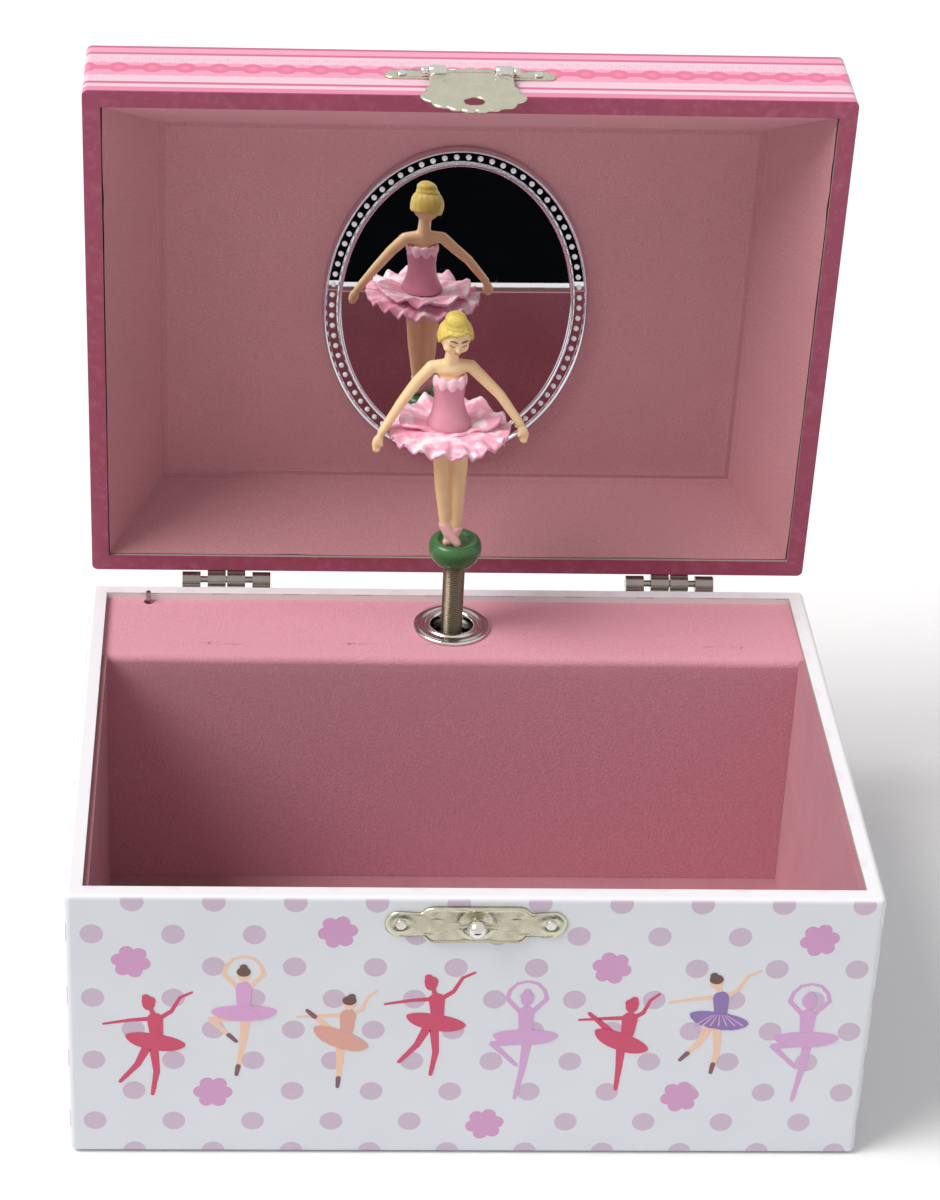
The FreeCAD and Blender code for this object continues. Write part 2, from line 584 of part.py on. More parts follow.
def make_cylinder():
    """Pinned cylinder, its arbor and the wheel on top."""
    drum = rod(CYL_X, POST_Y, DRUM_Z0, DRUM_R, DRUM_Z1 - DRUM_Z0, Z_AXIS)
    pitch = (DRUM_Z1 - DRUM_Z0 - 1.6) / (NOTES - 1)
    pins = []
    for k in range(NOTES):
        for j in range(4):
            a = (k * 137.5 + j * 83.0) % 360
            pin = rod(CYL_X, POST_Y, DRUM_Z0 + 0.8 + pitch * k, 0.18, DRUM_R + 0.55, X_AXIS)
            pin.rotate(V(CYL_X, POST_Y, 0), Z_AXIS, a)
            pins.append(pin)
    drum = drum.multiFuse(pins)
    drum = drum.cut(rod(CYL_X, POST_Y, DRUM_Z0 - 1, 1.0, 40, Z_AXIS))
    save("music_cylinder", drum)
    low = BARREL_Z + BARREL_R + 0.2
    arbor = rod(CYL_X, POST_Y, low, 1.0, WHEEL_Z + 3.0 - low, Z_AXIS)
    pinion = gear(PINION_T, CROWN_M, PINION_Z - 1.1, PINION_Z + 1.2, CYL_X, POST_Y, 15, 0, 0.1)
    save("cylinder_arbor", arbor.fuse(pinion))
    wheel = gear(WHEEL_T, MODULE, WHEEL_Z, WHEEL_Z + 1.2, CYL_X, POST_Y, 0, 1.0, 0.06)
    for k in range(4):
        a = math.pi / 4 + math.pi * k / 2
        gap = rod(CYL_X + 4.2 * math.cos(a), POST_Y + 4.2 * math.sin(a), WHEEL_Z - 1, 1.4, 4, Z_AXIS)
        wheel = wheel.cut(gap)
    save("cylinder_wheel", wheel)


def make_comb():
    """Tuned comb with its teeth just clear of the pins, held by three screws."""
    pitch = (DRUM_Z1 - DRUM_Z0 - 1.6) / (NOTES - 1)
    x0 = CYL_X + DRUM_R + 0.65
    y0 = POST_Y - 0.45
    body = box(8.0, 15.4, y0, y0 + 0.9, DRUM_Z0 + 0.3, DRUM_Z1 - 0.3)
    teeth = []
    for k in range(NOTES):
        z = DRUM_Z0 + 0.8 + pitch * k
        root = 8.0 - 4.5 * k / NOTES
        teeth.append(box(x0, 8.1, y0 + 0.25, y0 + 0.65, z - 0.3, z + 0.3))
        teeth.append(box(root, 8.1, y0, y0 + 0.9, z - pitch / 2, z + pitch / 2))
        if k < NOTES // 2:
            teeth.append(box(x0 + 1.0, x0 + 3.4, y0 + 0.6, y0 + 2.2, z - 0.25, z + 0.25))
    body = body.multiFuse(teeth)
    save("comb", holes(body, COMB_SCREWS, 0.9, y0 - 1, y0 + 3))
    save("comb_screws", Part.makeCompound(screw_heads(COMB_SCREWS, y0, 1.7, 0.9, 0.9, y0 + 5.0)))


def make_bed():
    """Bedplate with the comb step, and the brackets screwed to it."""
    y1 = INNER_Y
    bed = box(BED_X0, BED_X1, BED_Y, y1, BED_Z0, BED_Z1)
    bed = bed.fuse(box(8.6, 15.0, POST_Y + 0.45, BED_Y, DRUM_Z0 + 0.3, DRUM_Z1 - 0.3))
    small = BRIDGE_FEET + [LOWER_FOOT, UPPER_FOOT, SPINDLE_FOOT] + GOV_FEET
    bed = holes(bed, small, 0.7, BED_Y - 1, BED_Y + 1.2)
    bed = holes(bed, COMB_SCREWS, 0.9, POST_Y, POST_Y + 4.55)
    bed = holes(bed, CASE_SCREWS, 1.2, BED_Y - 1, DEPTH)
    bed = bed.cut(rod(BARREL_X, BED_Y - 1, BARREL_Z, ARBOR_R + RUN, 5, Y_AXIS))
    save("bedplate", bed)
    heads = screw_heads(CASE_SCREWS, DEPTH / 2, 2.5, 1.3, 1.2, BED_Y)
    save("movement_screws", Part.makeCompound(heads))
    heads = screw_heads(small, BED_Y - ARM_T, 1.3, 0.6, 0.7, BED_Y + 1.2)
    save("bridge_screws", Part.makeCompound(heads))
    low = BARREL_Z + BARREL_R + 0.2
    fx, fz = LOWER_FOOT
    arm = box(CYL_X - 2.5, fx + 1.9, POST_Y - 2.5, POST_Y + 2.3, low, low + 1.2)
    arm = arm.fuse(box(fx - 1.9, fx + 1.9, POST_Y - 2.5, BED_Y, low, low + 1.2))
    arm = arm.fuse(box(fx - 1.9, fx + 1.9, BED_Y - ARM_T, BED_Y, low, fz + 1.6))
    arm = holes(arm, [LOWER_FOOT], 0.7, BED_Y - 2, BED_Y + 1)
    arm = arm.cut(rod(CYL_X, POST_Y, low - 1, 1.0 + RUN, 4, Z_AXIS))
    save("lower_bearing_bracket", arm)
    ux, uz = UPPER_FOOT
    z = WHEEL_Z + 1.8
    arm = box(ux - 2.6, ux + 2.6, POST_Y - 2.6, BED_Y, z, z + ARM_T)
    arm = arm.fuse(box(ux - 2.6, ux + 2.6, BED_Y - ARM_T, BED_Y, uz - 1.8, z + ARM_T))
    arm = holes(arm, [UPPER_FOOT], 0.7, BED_Y - 2, BED_Y + 1)
    arm = arm.cut(rod(CYL_X, POST_Y, z - 1, 1.0 + RUN, 4, Z_AXIS))
    save("upper_bearing_bracket", arm)
    arm = box(-2.6, 2.6, POST_Y - 2.6, BED_Y, z, z + ARM_T)
    arm = arm.fuse(box(-2.6, 2.6, POST_Y - 2.6, BED_Y, WHEEL_Z - 1.3, WHEEL_Z - 0.3))
    arm = arm.fuse(box(-2.6, 2.6, BED_Y - ARM_T, BED_Y, WHEEL_Z - 4.8, z + ARM_T))
    arm = holes(arm, [SPINDLE_FOOT], 0.7, BED_Y - 2, BED_Y + 1)
    arm = arm.cut(rod(0, POST_Y, WHEEL_Z - 3, 1.0 + RUN, 8, Z_AXIS))
    save("spindle_bridge", arm)
    y_arm = CROWN_Y - 13.3
    half = CROWN_R + 2.4
    strap = box(BARREL_X - half, BARREL_X + half, y_arm, y_arm + 1.2, BARREL_Z - 3, BARREL_Z + 3)
    for side in (-1, 1):
        xa = BARREL_X + side * half
        xb = xa - side * 1.2
        xc = xa + side * 3.6
        leg = box(min(xa, xb), max(xa, xb), y_arm, BED_Y, BARREL_Z - 3, BARREL_Z + 3)
        foot = box(min(xb, xc), max(xb, xc), BED_Y - ARM_T, BED_Y, BARREL_Z - 3, BARREL_Z + 3)
        strap = strap.fuse(leg).fuse(foot)
    strap = holes(strap, BRIDGE_FEET, 0.7, BED_Y - 2, BED_Y + 1)
    strap = strap.cut(rod(BARREL_X, y_arm - 1, BARREL_Z, ARBOR_R + RUN, 4, Y_AXIS))
    save("barrel_bridge", strap)


def make_governor():
    """Governor wheel, worm, fan and the frame that carries them."""
    y_back = BED_Y
    frame = box(WORM_X - 4, GOV_X + 3.0, y_back - ARM_T, y_back, WORM_Z - 4.4, WHEEL_Z + 4.0)
    low = WORM_Z - 3.8
    frame = frame.fuse(box(WORM_X - 2, GOV_X + 2.7, POST_Y - 5.3, y_back, low, low + ARM_T))
    frame = frame.fuse(box(GOV_X - 2.7, GOV_X + 2.7, POST_Y - 2.7, y_back, WHEEL_Z + 2.0, WHEEL_Z + 3.0))
    frame = frame.fuse(box(WORM_X - 2, WORM_X + 2, POST_Y + 5.6, y_back, WORM_Z - 2, WORM_Z + 2))
    frame = frame.fuse(box(WORM_X - 2, WORM_X + 2, POST_Y - 5.3, POST_Y - 4.5, low, WORM_Z + 2))
    frame = holes(frame, GOV_FEET, 0.7, y_back - 2, y_back + 1)
    frame = frame.cut(rod(GOV_X, POST_Y, low - 1, 0.6 + RUN, 20, Z_AXIS))
    frame = frame.cut(rod(WORM_X, POST_Y - 8, WORM_Z, 0.6 + RUN, 15.5, Y_AXIS))
    save("governor_frame", frame)
    wheel = gear(GOVERNOR_T, MODULE, WHEEL_Z, WHEEL_Z + 1.2, GOV_X, POST_Y, 7.5, 0, 0.06)
    disc = gear(WORM_WHEEL_T, MODULE, WORM_Z - 0.5, WORM_Z + 0.5, GOV_X, POST_Y, 0, 0, 0.2)
    shaft = rod(GOV_X, POST_Y, low + 0.1, 0.6, WHEEL_Z + 3.0 - low, Z_AXIS)
    save("governor_wheel", shaft.fuse(wheel).fuse(disc))
    lead = math.pi * MODULE
    helix = Part.makeHelix(lead, 3 * lead, 0.85)
    w = lead / 2 - 0.22
    lean = math.tan(math.radians(20))
    points = [
        V(0.75, 0, -w / 2 - 0.5 * lean), V(1.65, 0, -w / 2 + 0.3 * lean),
        V(1.65, 0, w / 2 - 0.3 * lean), V(0.75, 0, w / 2 + 0.5 * lean),
    ]
    profile = Part.makePolygon(points + points[:1])
    thread = Part.Wire(helix).makePipeShell([profile], True, True)
    core = Part.makeCylinder(0.85, 4.4 * lead, V(0, 0, -0.7 * lead))
    worm = core.fuse(thread)
    worm.rotate(V(0, 0, 0), X_AXIS, -90)
    worm.translate(V(WORM_X, POST_Y - 1.5 * lead, WORM_Z))
    shaft = rod(WORM_X, POST_Y - 8.9, WORM_Z, 0.6, 16.2, Y_AXIS)
    save("worm_shaft", worm.fuse(shaft))
    y_fan = POST_Y - 9.9
    hub = rod(WORM_X, y_fan, WORM_Z, 1.3, 3.6, Y_AXIS)
    for k in range(4):
        blade = box(WORM_X + 0.8, WORM_X + 5.0, y_fan, y_fan + 3.4, WORM_Z - 0.15, WORM_Z + 0.15)
        blade.rotate(V(WORM_X, 0, WORM_Z), Y_AXIS, 45 + 90 * k)
        hub = hub.fuse(blade)
    save("fan_blades", hub.cut(rod(WORM_X, POST_Y - 8.9, WORM_Z, 0.6, 20, Y_AXIS)))


def make_stop():
    """Bent stop wire pressed by the lid, and the clip it turns in."""
    y = STOP_Y
    wire = rod(STOP_X, y - 16.6, STOP_Z, 0.5, 16.6, Y_AXIS)
    wire = wire.fuse(rod(STOP_TIP_X, y, STOP_Z, 0.5, STOP_X - STOP_TIP_X, X_AXIS))
    wire = wire.fuse(rod(STOP_TIP_X, y, STOP_Z, 0.5, CASE_H + 0.9 - STOP_Z, Z_AXIS))
    wire = wire.fuse(rod(STOP_X, y - 16.6, STOP_Z, 0.5, WORM_X - 5.6 - STOP_X, X_AXIS))
    for x, yy in ((STOP_X, y), (STOP_TIP_X, y), (STOP_X, y - 16.6)):
        wire = wire.fuse(Part.makeSphere(0.5, V(x, yy, STOP_Z)))
    save("stop_wire", wire)
    clip = box(STOP_X - 3, STOP_X + 3, y - 9.0, y - 1.2, STOP_Z - 1.6, STOP_Z + 1.6)
    clip = clip.fuse(box(STOP_X + 1.4, STOP_X + 6.4, y - 9.0, INNER_Y, STOP_Z - 1.6, STOP_Z - 0.6))
    clip = clip.cut(rod(STOP_X, y - 20, STOP_Z, 0.5 + RUN, 30, Y_AXIS))
    save("stop_clip", clip)


def make_spindle():
    """Spindle with its gear, and the close-wound spring post above it."""
    gear_z = WHEEL_Z
    body = gear(SPINDLE_T, MODULE, gear_z, gear_z + 1.2, 0, POST_Y, 10, 0, 0.06)
    body = body.fuse(rod(0, POST_Y, gear_z - 1.3, 1.0, 6.0, Z_AXIS))
    seat = DECK_Z - COVER - 1.1
    body = body.fuse(rod(0, POST_Y, seat, POST_R, 0.8, Z_AXIS))
    body = body.fuse(rod(0, POST_Y, seat, POST_BORE - RUN, 5.5, Z_AXIS))
    save("dancer_spindle", body)
    z0 = seat + 0.85
    z1 = STAND_Z - 0.05
    turns = int((z1 - z0) / 0.58)
    pitch = (z1 - z0) / turns
    profile = [(POST_BORE, z1), (POST_BORE, z0)]
    for k in range(turns):
        for s, r in ((0.0, -0.16), (0.2, -0.03), (0.5, 0.0), (0.8, -0.03)):
            profile.append((POST_R + r, z0 + (k + s) * pitch))
    profile.append((POST_R - 0.16, z1))
    save("post_spring", turned(profile, 0, POST_Y))


def make_dancer():
    """The moulded stand, and the figure in one piece above it."""
    z = STAND_Z
    y = POST_Y
    stand = [
        (0.0, z - 3.6), (POST_BORE - RUN, z - 3.6), (POST_BORE - RUN, z), (POST_R + 0.1, z),
        (STAND_R - 0.5, z + 2.2), (STAND_R, z + 2.9), (STAND_R, z + STAND_H - 1.5),
        (STAND_R - 0.4, z + STAND_H - 0.5), (STAND_R - 1.2, z + STAND_H), (0.0, z + STAND_H),
    ]
    save("dancer_stand", turned(stand, 0, y))
    z = STAND_Z + STAND_H
    s = DANCER_H / 52.0
    x = -0.8
    toes = [
        limb([(x - 1.5, y - 0.4, z + 1.0, 1.0), (x - 1.3, y - 0.2, z + 4.5 * s, 1.4)]),
        limb([(x + 1.5, y + 0.4, z + 1.0, 1.0), (x + 1.1, y + 0.2, z + 4.5 * s, 1.4)]),
    ]
    ankle, knee, hip = z + 4.0 * s, z + 11 * s, z + 22 * s
    legs = [
        limb([(x - 1.3, y, ankle, 1.3), (x - 1.5, y, knee, 1.75), (x - 1.6, y, hip, 2.0)]),
        limb([(x + 1.1, y, ankle, 1.3), (x + 1.4, y, knee, 1.75), (x + 1.6, y, hip, 2.0)]),
    ]
    rings = []
    for rel, radius, wave in (
        (18.2, 0.55, 0.16), (21.5, 0.90, 0.12), (24.6, 0.93, 0.07), (27.0, 0.80, 0.06), (30.5, 0.34, 0.05),
    ):
        points = []
        for k in range(40):
            a = 2 * math.pi * k / 40
            r = TUTU_R * (radius + wave * math.cos(10 * a))
            points.append(V(x - 1.2 + r * math.cos(a), y + r * math.sin(a), z + rel * s))
        rings.append(points)
    tutu = skin(rings)
    torso = turned([
        (0.0, z + 28.0 * s), (3.0, z + 28.0 * s), (2.9, z + 30.0 * s), (3.7, z + 33.0 * s),
        (4.3, z + 35.0 * s), (3.2, z + 36.6 * s), (1.6, z + 37.4 * s), (0.0, z + 37.4 * s),
    ], x, y)
    neck = rod(x, y, z + 35.0 * s, 1.35, 6.5 * s, Z_AXIS)
    head = Part.makeSphere(3.6, V(x, y - 0.2, z + 44.2 * s))
    hair = Part.makeSphere(3.8, V(x, y + 0.5, z + 45.2 * s))
    bun = Part.makeSphere(2.1, V(x, y + 0.4, z + 49.8 * s))
    reach = ARM_SPAN / 2 - 0.9
    mid = -1.75
    arms = [
        limb([
            (x - 4.7, y, z + 35.0 * s, 1.35), (x - 8.0, y - 0.6, z + 32.0 * s, 1.15),
            (x - 11.8, y - 1.5, z + 27.5 * s, 1.0), (mid - reach, y - 2.4, z + 21.6 * s, 0.85),
        ]),
        limb([
            (x + 4.7, y, z + 35.0 * s, 1.35), (x + 8.2, y - 0.6, z + 32.5 * s, 1.15),
            (x + 11.4, y - 1.5, z + 28.5 * s, 1.0), (mid + reach, y - 2.4, z + 24.2 * s, 0.85),
        ]),
    ]
    figure = tutu.multiFuse(toes + legs + [torso, neck, head, hair, bun] + arms)
    save("dancer_figure", figure.cut(box(-30, 30, y - 30, y + 30, 0, z)))


make_cover()
case_leaf_nails, lid_leaf_nails = make_hinges()
strap_nails, catch_nails = make_hasp()
case_nails = case_leaf_nails + catch_nails
lid_nails = lid_leaf_nails + strap_nails
save("case_nails", Part.makeCompound(case_nails))
save("lid_nails", opened(Part.makeCompound(lid_nails)))
make_lid(lid_nails)
make_case(case_nails)
make_barrel()
make_cylinder()
make_comb()
make_bed()
make_governor()
make_stop()
make_spindle()
make_dancer()
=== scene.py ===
"""A child's musical jewellery box, open: printed card case, lined lid with an oval mirror, turning dancer."""
import math

import bmesh
import bpy
from mathutils import Euler, Matrix, Vector, noise


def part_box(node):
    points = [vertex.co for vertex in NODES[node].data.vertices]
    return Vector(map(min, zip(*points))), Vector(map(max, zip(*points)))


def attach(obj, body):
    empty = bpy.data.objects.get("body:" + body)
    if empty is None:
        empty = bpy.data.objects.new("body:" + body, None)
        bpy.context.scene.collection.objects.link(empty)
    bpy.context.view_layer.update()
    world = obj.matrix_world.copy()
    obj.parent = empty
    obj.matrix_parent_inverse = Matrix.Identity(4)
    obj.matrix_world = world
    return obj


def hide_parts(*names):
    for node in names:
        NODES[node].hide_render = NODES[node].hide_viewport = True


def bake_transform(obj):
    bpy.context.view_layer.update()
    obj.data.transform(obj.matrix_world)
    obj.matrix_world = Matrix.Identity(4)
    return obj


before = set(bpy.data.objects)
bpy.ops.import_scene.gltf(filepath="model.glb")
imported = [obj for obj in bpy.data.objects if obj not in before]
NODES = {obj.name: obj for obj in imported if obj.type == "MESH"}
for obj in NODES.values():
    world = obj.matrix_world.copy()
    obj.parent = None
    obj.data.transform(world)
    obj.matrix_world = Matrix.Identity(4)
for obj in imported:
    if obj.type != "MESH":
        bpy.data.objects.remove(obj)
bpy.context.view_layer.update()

MM = 0.001
HINGE_PIN = Vector((0.0, 57.0, 60.3))
LID_ANGLE = 87.0
LINING_PANEL = 79.65
MIRROR_Y, MIRROR_HALF = 1.0, (27.6, 36.2)


# ---------- places read from the frame ----------
def corners(node):
    """Lowest and highest corner of a CAD node, in millimetres."""
    low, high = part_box(node)
    return Vector(low) / MM, Vector(high) / MM


def middle(node):
    low, high = corners(node)
    return (low + high) / 2


def lid_opened():
    """The turn that takes the shut lid's shapes to where the open lid holds them, in millimetres."""
    swing = Matrix.Rotation(math.radians(-LID_ANGLE), 4, "X")
    return Matrix.Translation(HINGE_PIN) @ swing @ Matrix.Translation(-HINGE_PIN)


OPENED = lid_opened()
OPENED_METRES = Matrix.Scale(MM, 4) @ OPENED @ Matrix.Scale(1 / MM, 4)
POST = middle("post_spring")


# ---------- wiring shader trees ----------
def ink(red, green, blue):
    """A colour from everyday 0 to 255 values."""
    def linear(level):
        level = level / 255
        return level / 12.92 if level <= 0.04045 else ((level + 0.055) / 1.055) ** 2.4
    return (linear(red), linear(green), linear(blue), 1.0)


def plug(tree, socket, value):
    if isinstance(value, bpy.types.NodeSocket):
        tree.links.new(value, socket)
    else:
        socket.default_value = value


def wire(tree, kind, inputs=None, **settings):
    """A new node with its settings and inputs filled in."""
    made = tree.nodes.new(kind)
    for name, value in settings.items():
        setattr(made, name, value)
    for name, value in (inputs or {}).items():
        plug(tree, made.inputs[name], value)
    return made


def calc(tree, operation, *values):
    made = wire(tree, "ShaderNodeMath", operation=operation)
    for index, value in enumerate(values):
        plug(tree, made.inputs[index], value)
    return made.outputs[0]


def vec(tree, operation, *values):
    made = wire(tree, "ShaderNodeVectorMath", operation=operation)
    for index, value in enumerate(values):
        plug(tree, made.inputs[index], value)
    return made


def tint(tree, amount, under, over):
    """Lays one colour over another where the mask says."""
    made = wire(tree, "ShaderNodeMix", data_type="RGBA")
    plug(tree, made.inputs[0], amount)
    plug(tree, made.inputs[6], under)
    plug(tree, made.inputs[7], over)
    return made.outputs[2]


def soft_step(tree, value, start, end):
    """0 before start, 1 after end, smooth between."""
    made = wire(tree, "ShaderNodeMapRange", interpolation_type="SMOOTHSTEP")
    plug(tree, made.inputs["Value"], value)
    plug(tree, made.inputs["From Min"], start)
    plug(tree, made.inputs["From Max"], end)
    return made.outputs["Result"]


def stretch(tree, value, low, high):
    """Spreads a 0 to 1 value over another range."""
    made = wire(tree, "ShaderNodeMapRange")
    plug(tree, made.inputs["Value"], value)
    plug(tree, made.inputs["To Min"], low)
    plug(tree, made.inputs["To Max"], high)
    return made.outputs["Result"]


def fine_noise(tree, where, scale, detail=2.0, roughness=0.5):
    made = wire(tree, "ShaderNodeTexNoise", {"Scale": scale, "Detail": detail, "Roughness": roughness})
    plug(tree, made.inputs["Vector"], where)
    return made.outputs["Fac"]


def stage_group(name, inputs, outputs):
    """An empty shader group with named sockets: returns the group, its input node and its output node."""
    group = bpy.data.node_groups.new(name, "ShaderNodeTree")
    for socket, kind, value in inputs:
        made = group.interface.new_socket(name=socket, in_out="INPUT", socket_type=kind)
        if value is not None:
            made.default_value = value
    for socket, kind in outputs:
        group.interface.new_socket(name=socket, in_out="OUTPUT", socket_type=kind)
    return group, group.nodes.new("NodeGroupInput"), group.nodes.new("NodeGroupOutput")


FLOAT, VECTOR = "NodeSocketFloat", "NodeSocketVector"


def paper_grain_group():
    """Pressed paper: a fine tooth, faint cloudy tone and a few long fibres. Lengths are in millimetres."""
    group, given, out = stage_group("paper_grain", [("Place", VECTOR, None), ("Tooth", FLOAT, 3.0)],
                                    [("Height", FLOAT), ("Tone", FLOAT)])
    place = given.outputs["Place"]
    tooth = fine_noise(group, place, given.outputs["Tooth"], 3.0, 0.6)
    cloud = fine_noise(group, place, 0.07, 2.0)
    long_way = vec(group, "MULTIPLY", place, (0.35, 2.6, 2.6)).outputs[0]
    fibre = fine_noise(group, long_way, 1.3, 2.0)
    height = calc(group, "ADD", calc(group, "MULTIPLY", tooth, 0.7), calc(group, "MULTIPLY", fibre, 0.3))
    tone = calc(group, "ADD", calc(group, "MULTIPLY", cloud, 0.7), calc(group, "MULTIPLY", tooth, 0.3))
    group.links.new(height, out.inputs["Height"])
    group.links.new(tone, out.inputs["Tone"])
    return group


def flock_group():
    """Flannel with a short nap: fibre specks, brushed patches and a faint weave under them."""
    group, given, out = stage_group("flock_nap", [("Place", VECTOR, None), ("Fibre", FLOAT, 4.5)],
                                    [("Height", FLOAT), ("Tone", FLOAT), ("Brushed", FLOAT)])
    place = given.outputs["Place"]
    speck = fine_noise(group, place, given.outputs["Fibre"], 4.0, 0.72)
    lint = wire(group, "ShaderNodeTexVoronoi", {"Scale": 2.1}, feature="F1")
    group.links.new(place, lint.inputs["Vector"])
    patch = fine_noise(group, place, 0.055, 3.0, 0.55)
    threads = wire(group, "ShaderNodeTexWave", {"Scale": 1.1, "Distortion": 2.5, "Detail": 2.0},
                   wave_type="BANDS", bands_direction="DIAGONAL")
    group.links.new(place, threads.inputs["Vector"])
    height = calc(group, "ADD", calc(group, "MULTIPLY", speck, 0.8),
                  calc(group, "MULTIPLY", lint.outputs["Distance"], 0.35))
    height = calc(group, "ADD", height, calc(group, "MULTIPLY", threads.outputs["Fac"], 0.06))
    group.links.new(height, out.inputs["Height"])
    group.links.new(speck, out.inputs["Tone"])
    group.links.new(patch, out.inputs["Brushed"])
    return group


def metal_marks_group():
    """Plated sheet metal: fine drawn lines, small dents and rubbed spots."""
    group, given, out = stage_group("metal_marks", [("Place", VECTOR, None), ("Lines", VECTOR, (1.0, 14.0, 1.0))],
                                    [("Height", FLOAT), ("Rub", FLOAT), ("Tarnish", FLOAT)])
    place = given.outputs["Place"]
    drawn = fine_noise(group, vec(group, "MULTIPLY", place, given.outputs["Lines"]).outputs[0], 1.6, 2.0)
    dents = fine_noise(group, place, 0.9, 2.0)
    rub = soft_step(group, fine_noise(group, place, 0.5, 4.0, 0.65), 0.45, 0.75)
    height = calc(group, "ADD", calc(group, "MULTIPLY", drawn, 0.35), calc(group, "MULTIPLY", dents, 0.65))
    group.links.new(height, out.inputs["Height"])
    group.links.new(rub, out.inputs["Rub"])
    group.links.new(fine_noise(group, place, 0.23, 3.0, 0.6), out.inputs["Tarnish"])
    return group


def moulded_group():
    """Moulded plastic: orange-peel skin, a slow tone change and tiny scuffs."""
    group, given, out = stage_group("moulded_skin", [("Place", VECTOR, None), ("Peel", FLOAT, 1.6)],
                                    [("Height", FLOAT), ("Tone", FLOAT), ("Scuff", FLOAT)])
    place = given.outputs["Place"]
    peel = fine_noise(group, place, given.outputs["Peel"], 2.0)
    group.links.new(peel, out.inputs["Height"])
    group.links.new(fine_noise(group, place, 0.35, 2.0), out.inputs["Tone"])
    scuff = soft_step(group, fine_noise(group, place, 2.4, 5.0, 0.7), 0.58, 0.72)
    group.links.new(scuff, out.inputs["Scuff"])
    return group


def spots_group():
    """Round printed spots in staggered rows on a flat place (u, v)."""
    group, given, out = stage_group(
        "printed_spots",
        [("Place", VECTOR, None), ("Start", VECTOR, (0.0, 0.0, 0.0)), ("Pitch", VECTOR, (14.85, 14.6, 1.0)),
         ("Radius", FLOAT, 2.15)], [("Mask", FLOAT)])
    start = vec(group, "SUBTRACT", given.outputs["Place"], given.outputs["Start"]).outputs[0]
    pitch = given.outputs["Pitch"]
    half = vec(group, "MULTIPLY", pitch, (0.5, 0.5, 0.0)).outputs[0]
    nearest = None
    for shift in (0, 1):
        moved = start if shift == 0 else vec(group, "SUBTRACT", start, half).outputs[0]
        cell = vec(group, "DIVIDE", moved, pitch).outputs[0]
        whole = vec(group, "FLOOR", vec(group, "ADD", cell, (0.5, 0.5, 0.5)).outputs[0]).outputs[0]
        rest = vec(group, "MULTIPLY", vec(group, "SUBTRACT", cell, whole).outputs[0], pitch).outputs[0]
        flat = vec(group, "MULTIPLY", rest, (1.0, 1.0, 0.0)).outputs[0]
        away = vec(group, "LENGTH", flat).outputs["Value"]
        nearest = away if nearest is None else calc(group, "MINIMUM", nearest, away)
    edge = calc(group, "SUBTRACT", given.outputs["Radius"], nearest)
    group.links.new(soft_step(group, edge, -0.09, 0.09), out.inputs["Mask"])
    return group


def shut_lid_group():
    """Turns a place on the open lid back to where it is on the shut lid, in millimetres, and its normal too."""
    group, given, out = stage_group("shut_lid_place", [("Place", VECTOR, None), ("Facing", VECTOR, None)],
                                    [("Place", VECTOR), ("Facing", VECTOR)])
    back = OPENED.inverted()
    turn = back.to_euler()
    where = wire(group, "ShaderNodeMapping", vector_type="POINT")
    where.inputs["Rotation"].default_value = turn
    where.inputs["Location"].default_value = back.translation
    group.links.new(given.outputs["Place"], where.inputs["Vector"])
    facing = wire(group, "ShaderNodeMapping", vector_type="VECTOR")
    facing.inputs["Rotation"].default_value = turn
    group.links.new(given.outputs["Facing"], facing.inputs["Vector"])
    group.links.new(where.outputs[0], out.inputs["Place"])
    group.links.new(facing.outputs[0], out.inputs["Facing"])
    return group


PAPER_GRAIN = paper_grain_group()
FLOCK = flock_group()
METAL_MARKS = metal_marks_group()
MOULDED = moulded_group()
SPOTS = spots_group()
SHUT_LID = shut_lid_group()


class Finish:
    """One material being wired: its tree, its shader and the place on the piece in millimetres."""

    def __init__(self, name, roughness, metallic=0.0, **sockets):
        self.material = bpy.data.materials.new(name)
        self.material.use_nodes = True
        self.tree = self.material.node_tree
        self.shader = self.tree.nodes["Principled BSDF"]
        self.shader.inputs["Roughness"].default_value = roughness
        self.shader.inputs["Metallic"].default_value = metallic
        for socket, value in sockets.items():
            self.shader.inputs[socket.replace("_", " ")].default_value = value
        texture_place = wire(self.tree, "ShaderNodeTexCoord")
        scaled = vec(self.tree, "SCALE", texture_place.outputs["Object"])
        scaled.inputs["Scale"].default_value = 1000.0
        self.place = scaled.outputs[0]
        self.facing = texture_place.outputs["Normal"]

    def group(self, group, **inputs):
        made = wire(self.tree, "ShaderNodeGroup", node_tree=group)
        plug(self.tree, made.inputs["Place"], self.place)
        for name, value in inputs.items():
            plug(self.tree, made.inputs[name], value)
        return made

    def colour(self, value):
        plug(self.tree, self.shader.inputs["Base Color"], value)

    def rough(self, value, low, high):
        plug(self.tree, self.shader.inputs["Roughness"], stretch(self.tree, value, low, high))

    def bump(self, height, distance, strength=1.0):
        made = wire(self.tree, "ShaderNodeBump", {"Strength": strength, "Distance": distance * MM})
        plug(self.tree, made.inputs["Height"], height)
        self.tree.links.new(made.outputs["Normal"], self.shader.inputs["Normal"])


def split(tree, vector):
    return wire(tree, "ShaderNodeSeparateXYZ", {"Vector": vector}).outputs


